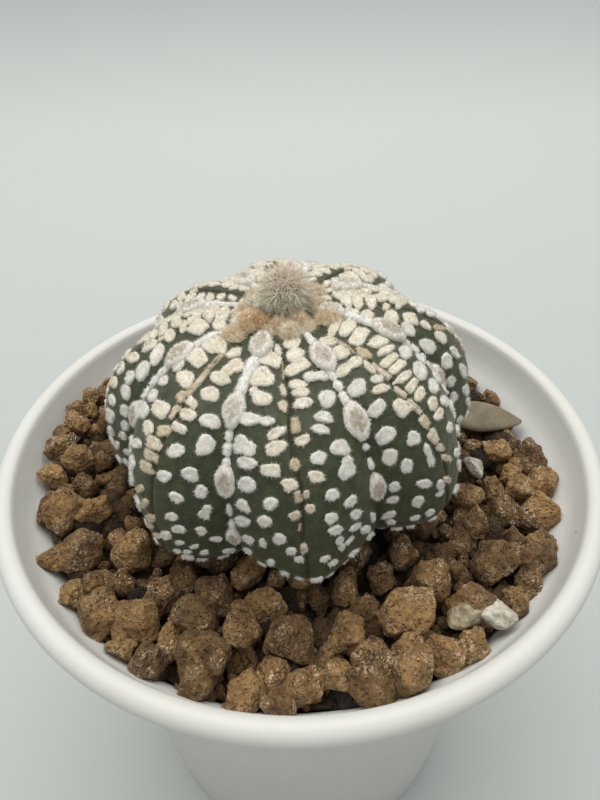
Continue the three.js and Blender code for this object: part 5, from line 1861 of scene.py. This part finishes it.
class STAR_CACTUS_OT_stones(bpy.types.Operator):
    """Lay the flat pebble and the three pale stones on the soil"""

    bl_idname = "star_cactus.stones"
    bl_label = "Stones"

    def execute(self, context):
        flat = stone_material("flat_stone", (0.205, 0.165, 0.10), (0.12, 0.098, 0.06), 260.0,
                              (0.8, 0.75, 0.7), 0.62)
        pale = stone_material("pale_stone", (0.64, 0.60, 0.51), (0.30, 0.27, 0.21), 900.0,
                              (0.62, 0.6, 0.56), 0.45)
        yellow = stone_material("yellow_stone", (0.43, 0.38, 0.255), (0.22, 0.18, 0.10), 800.0,
                                (0.7, 0.65, 0.6), 0.6)
        finishes = dict(zip(STONES, (flat, pale, yellow, pale)))
        for number, (name, (at, size, turn, point)) in enumerate(STONES.items()):
            mesh = stone_mesh(size, turn, point, at, 31 + number)
            slot = "flat_stone" if name == "flat_stone" else "pale_stone"
            show(name + "_worn", mesh, slot, name, material=finishes[name])
        return {"FINISHED"}


# The studio, in metres.
FLOOR_HALF = 3.0
FLOOR_PAINTED_LIGHT, PAINTED_LIGHT_FROM, PAINTED_LIGHT_TO = 1.22, 0.1, 0.45  # painted light: the floor is painted paler behind the pot, from and to so many metres from its axis
SKY_COLOUR = (0.98, 1.0, 1.0, 1)
KEY_AT, KEY_AIM, KEY_SIZE, KEY_COLOUR = (-0.04, 0.12, 0.84), (0, 0, 0.08), (0.9, 0.7), (1.0, 0.985, 0.96)
# The camera, from the photograph's own perspective: metres and radians.
SENSOR_MM = 36
LENS_MM = 29.25
CLIP_START = 0.005
CAMERA_AT = (0, -0.08058, 0.16855)
CAMERA_PITCH = 0.70668411
CAMERA_YAW = 0.00514331
CAMERA_ROLL = 0.02153097


class STAR_CACTUS_OT_stage(bpy.types.Operator):
    """Lay the pale floor and set up the soft light and the camera"""

    bl_idname = "star_cactus.stage"
    bl_label = "Stage"

    def execute(self, context):
        user = settings("studio")
        scene = context.scene
        corners = [(x * FLOOR_HALF, y * FLOOR_HALF, 0) for x, y in ((-1, -1), (1, -1), (1, 1), (-1, 1))]
        floor = linked("floor", mesh_of("floor", corners, [(0, 1, 2, 3)]))
        material, tree, shader = new_material("pale_floor", Roughness=0.55)
        pale = tuple(user.floor)
        base = mottle(tree, pale, scaled(pale, 0.985), 9.0, 0.2)["Color"]
        # Painted light: the floor is painted paler behind the pot, where the overhead light falls off.
        far = ranged(tree, parted(tree, place_in(tree))[1], PAINTED_LIGHT_FROM, PAINTED_LIGHT_TO)
        paler = tuple(min(1, c) for c in scaled(pale, FLOOR_PAINTED_LIGHT))
        painted(tree, shader, blended(tree, far, base, paler))
        floor.data.materials.append(material)

        world = bpy.data.worlds.new("studio")
        world.use_nodes = True
        sky = world.node_tree.nodes["Background"]
        sky.inputs["Color"].default_value = SKY_COLOUR
        sky.inputs["Strength"].default_value = user.sky
        scene.world = world

        light = bpy.data.lights.new("overhead", "AREA")
        light.shape = "RECTANGLE"
        light.size, light.size_y = KEY_SIZE
        light.energy = user.key
        light.color = KEY_COLOUR
        held = linked("overhead", light)
        held.location = KEY_AT
        held.rotation_euler = (Vector(KEY_AIM) - Vector(KEY_AT)).to_track_quat("-Z", "Y").to_euler()

        camera = bpy.data.cameras.new("camera")
        camera.sensor_fit = "AUTO"
        camera.sensor_width = SENSOR_MM
        camera.lens = LENS_MM
        camera.clip_start = CLIP_START
        held = linked("camera", camera)
        view = (Matrix.Rotation(-CAMERA_YAW, 4, "Z") @ Matrix.Rotation(math.pi / 2 - CAMERA_PITCH, 4, "X")
                @ Matrix.Rotation(-CAMERA_ROLL, 4, "Z"))
        held.matrix_world = Matrix.Translation(CAMERA_AT) @ view
        scene.camera = held
        scene.view_settings.view_transform = "Standard"
        return {"FINISHED"}


OPERATORS = [
    STAR_CACTUS_OT_stage, STAR_CACTUS_OT_pot, STAR_CACTUS_OT_bed, STAR_CACTUS_OT_lumps, STAR_CACTUS_OT_stones,
    STAR_CACTUS_OT_skin, STAR_CACTUS_OT_flecks, STAR_CACTUS_OT_areoles, STAR_CACTUS_OT_crown_wool,
    STAR_CACTUS_OT_bud,
]
GROUPS = {"pot": StarCactusPot, "plant": StarCactusPlant, "bud": StarCactusBud, "soil": StarCactusSoil,
          "studio": StarCactusStudio}


class STAR_CACTUS_PT_panel(bpy.types.Panel):
    """Lists the pieces and their settings"""

    bl_label = "Star cactus"
    bl_idname = "STAR_CACTUS_PT_panel"
    bl_space_type = "VIEW_3D"
    bl_region_type = "UI"
    bl_category = "Star cactus"

    def draw(self, context):
        for name, group in GROUPS.items():
            box = self.layout.box()
            box.label(text=name.capitalize())
            for key in group.__annotations__:
                box.prop(getattr(context.scene, "star_cactus_" + name), key)
        for operator in OPERATORS:
            self.layout.operator(operator.bl_idname)


CLASSES = [*GROUPS.values(), *OPERATORS, STAR_CACTUS_PT_panel]


def register():
    for item in CLASSES:
        bpy.utils.register_class(item)
    for name, group in GROUPS.items():
        setattr(bpy.types.Scene, "star_cactus_" + name, PointerProperty(type=group))


def unregister():
    for name in GROUPS:
        delattr(bpy.types.Scene, "star_cactus_" + name)
    for item in reversed(CLASSES):
        bpy.utils.unregister_class(item)


def main():
    register()
    for operator in OPERATORS:
        family, name = operator.bl_idname.split(".")
        getattr(getattr(bpy.ops, family), name)()


if __name__ == "__main__":
    main()
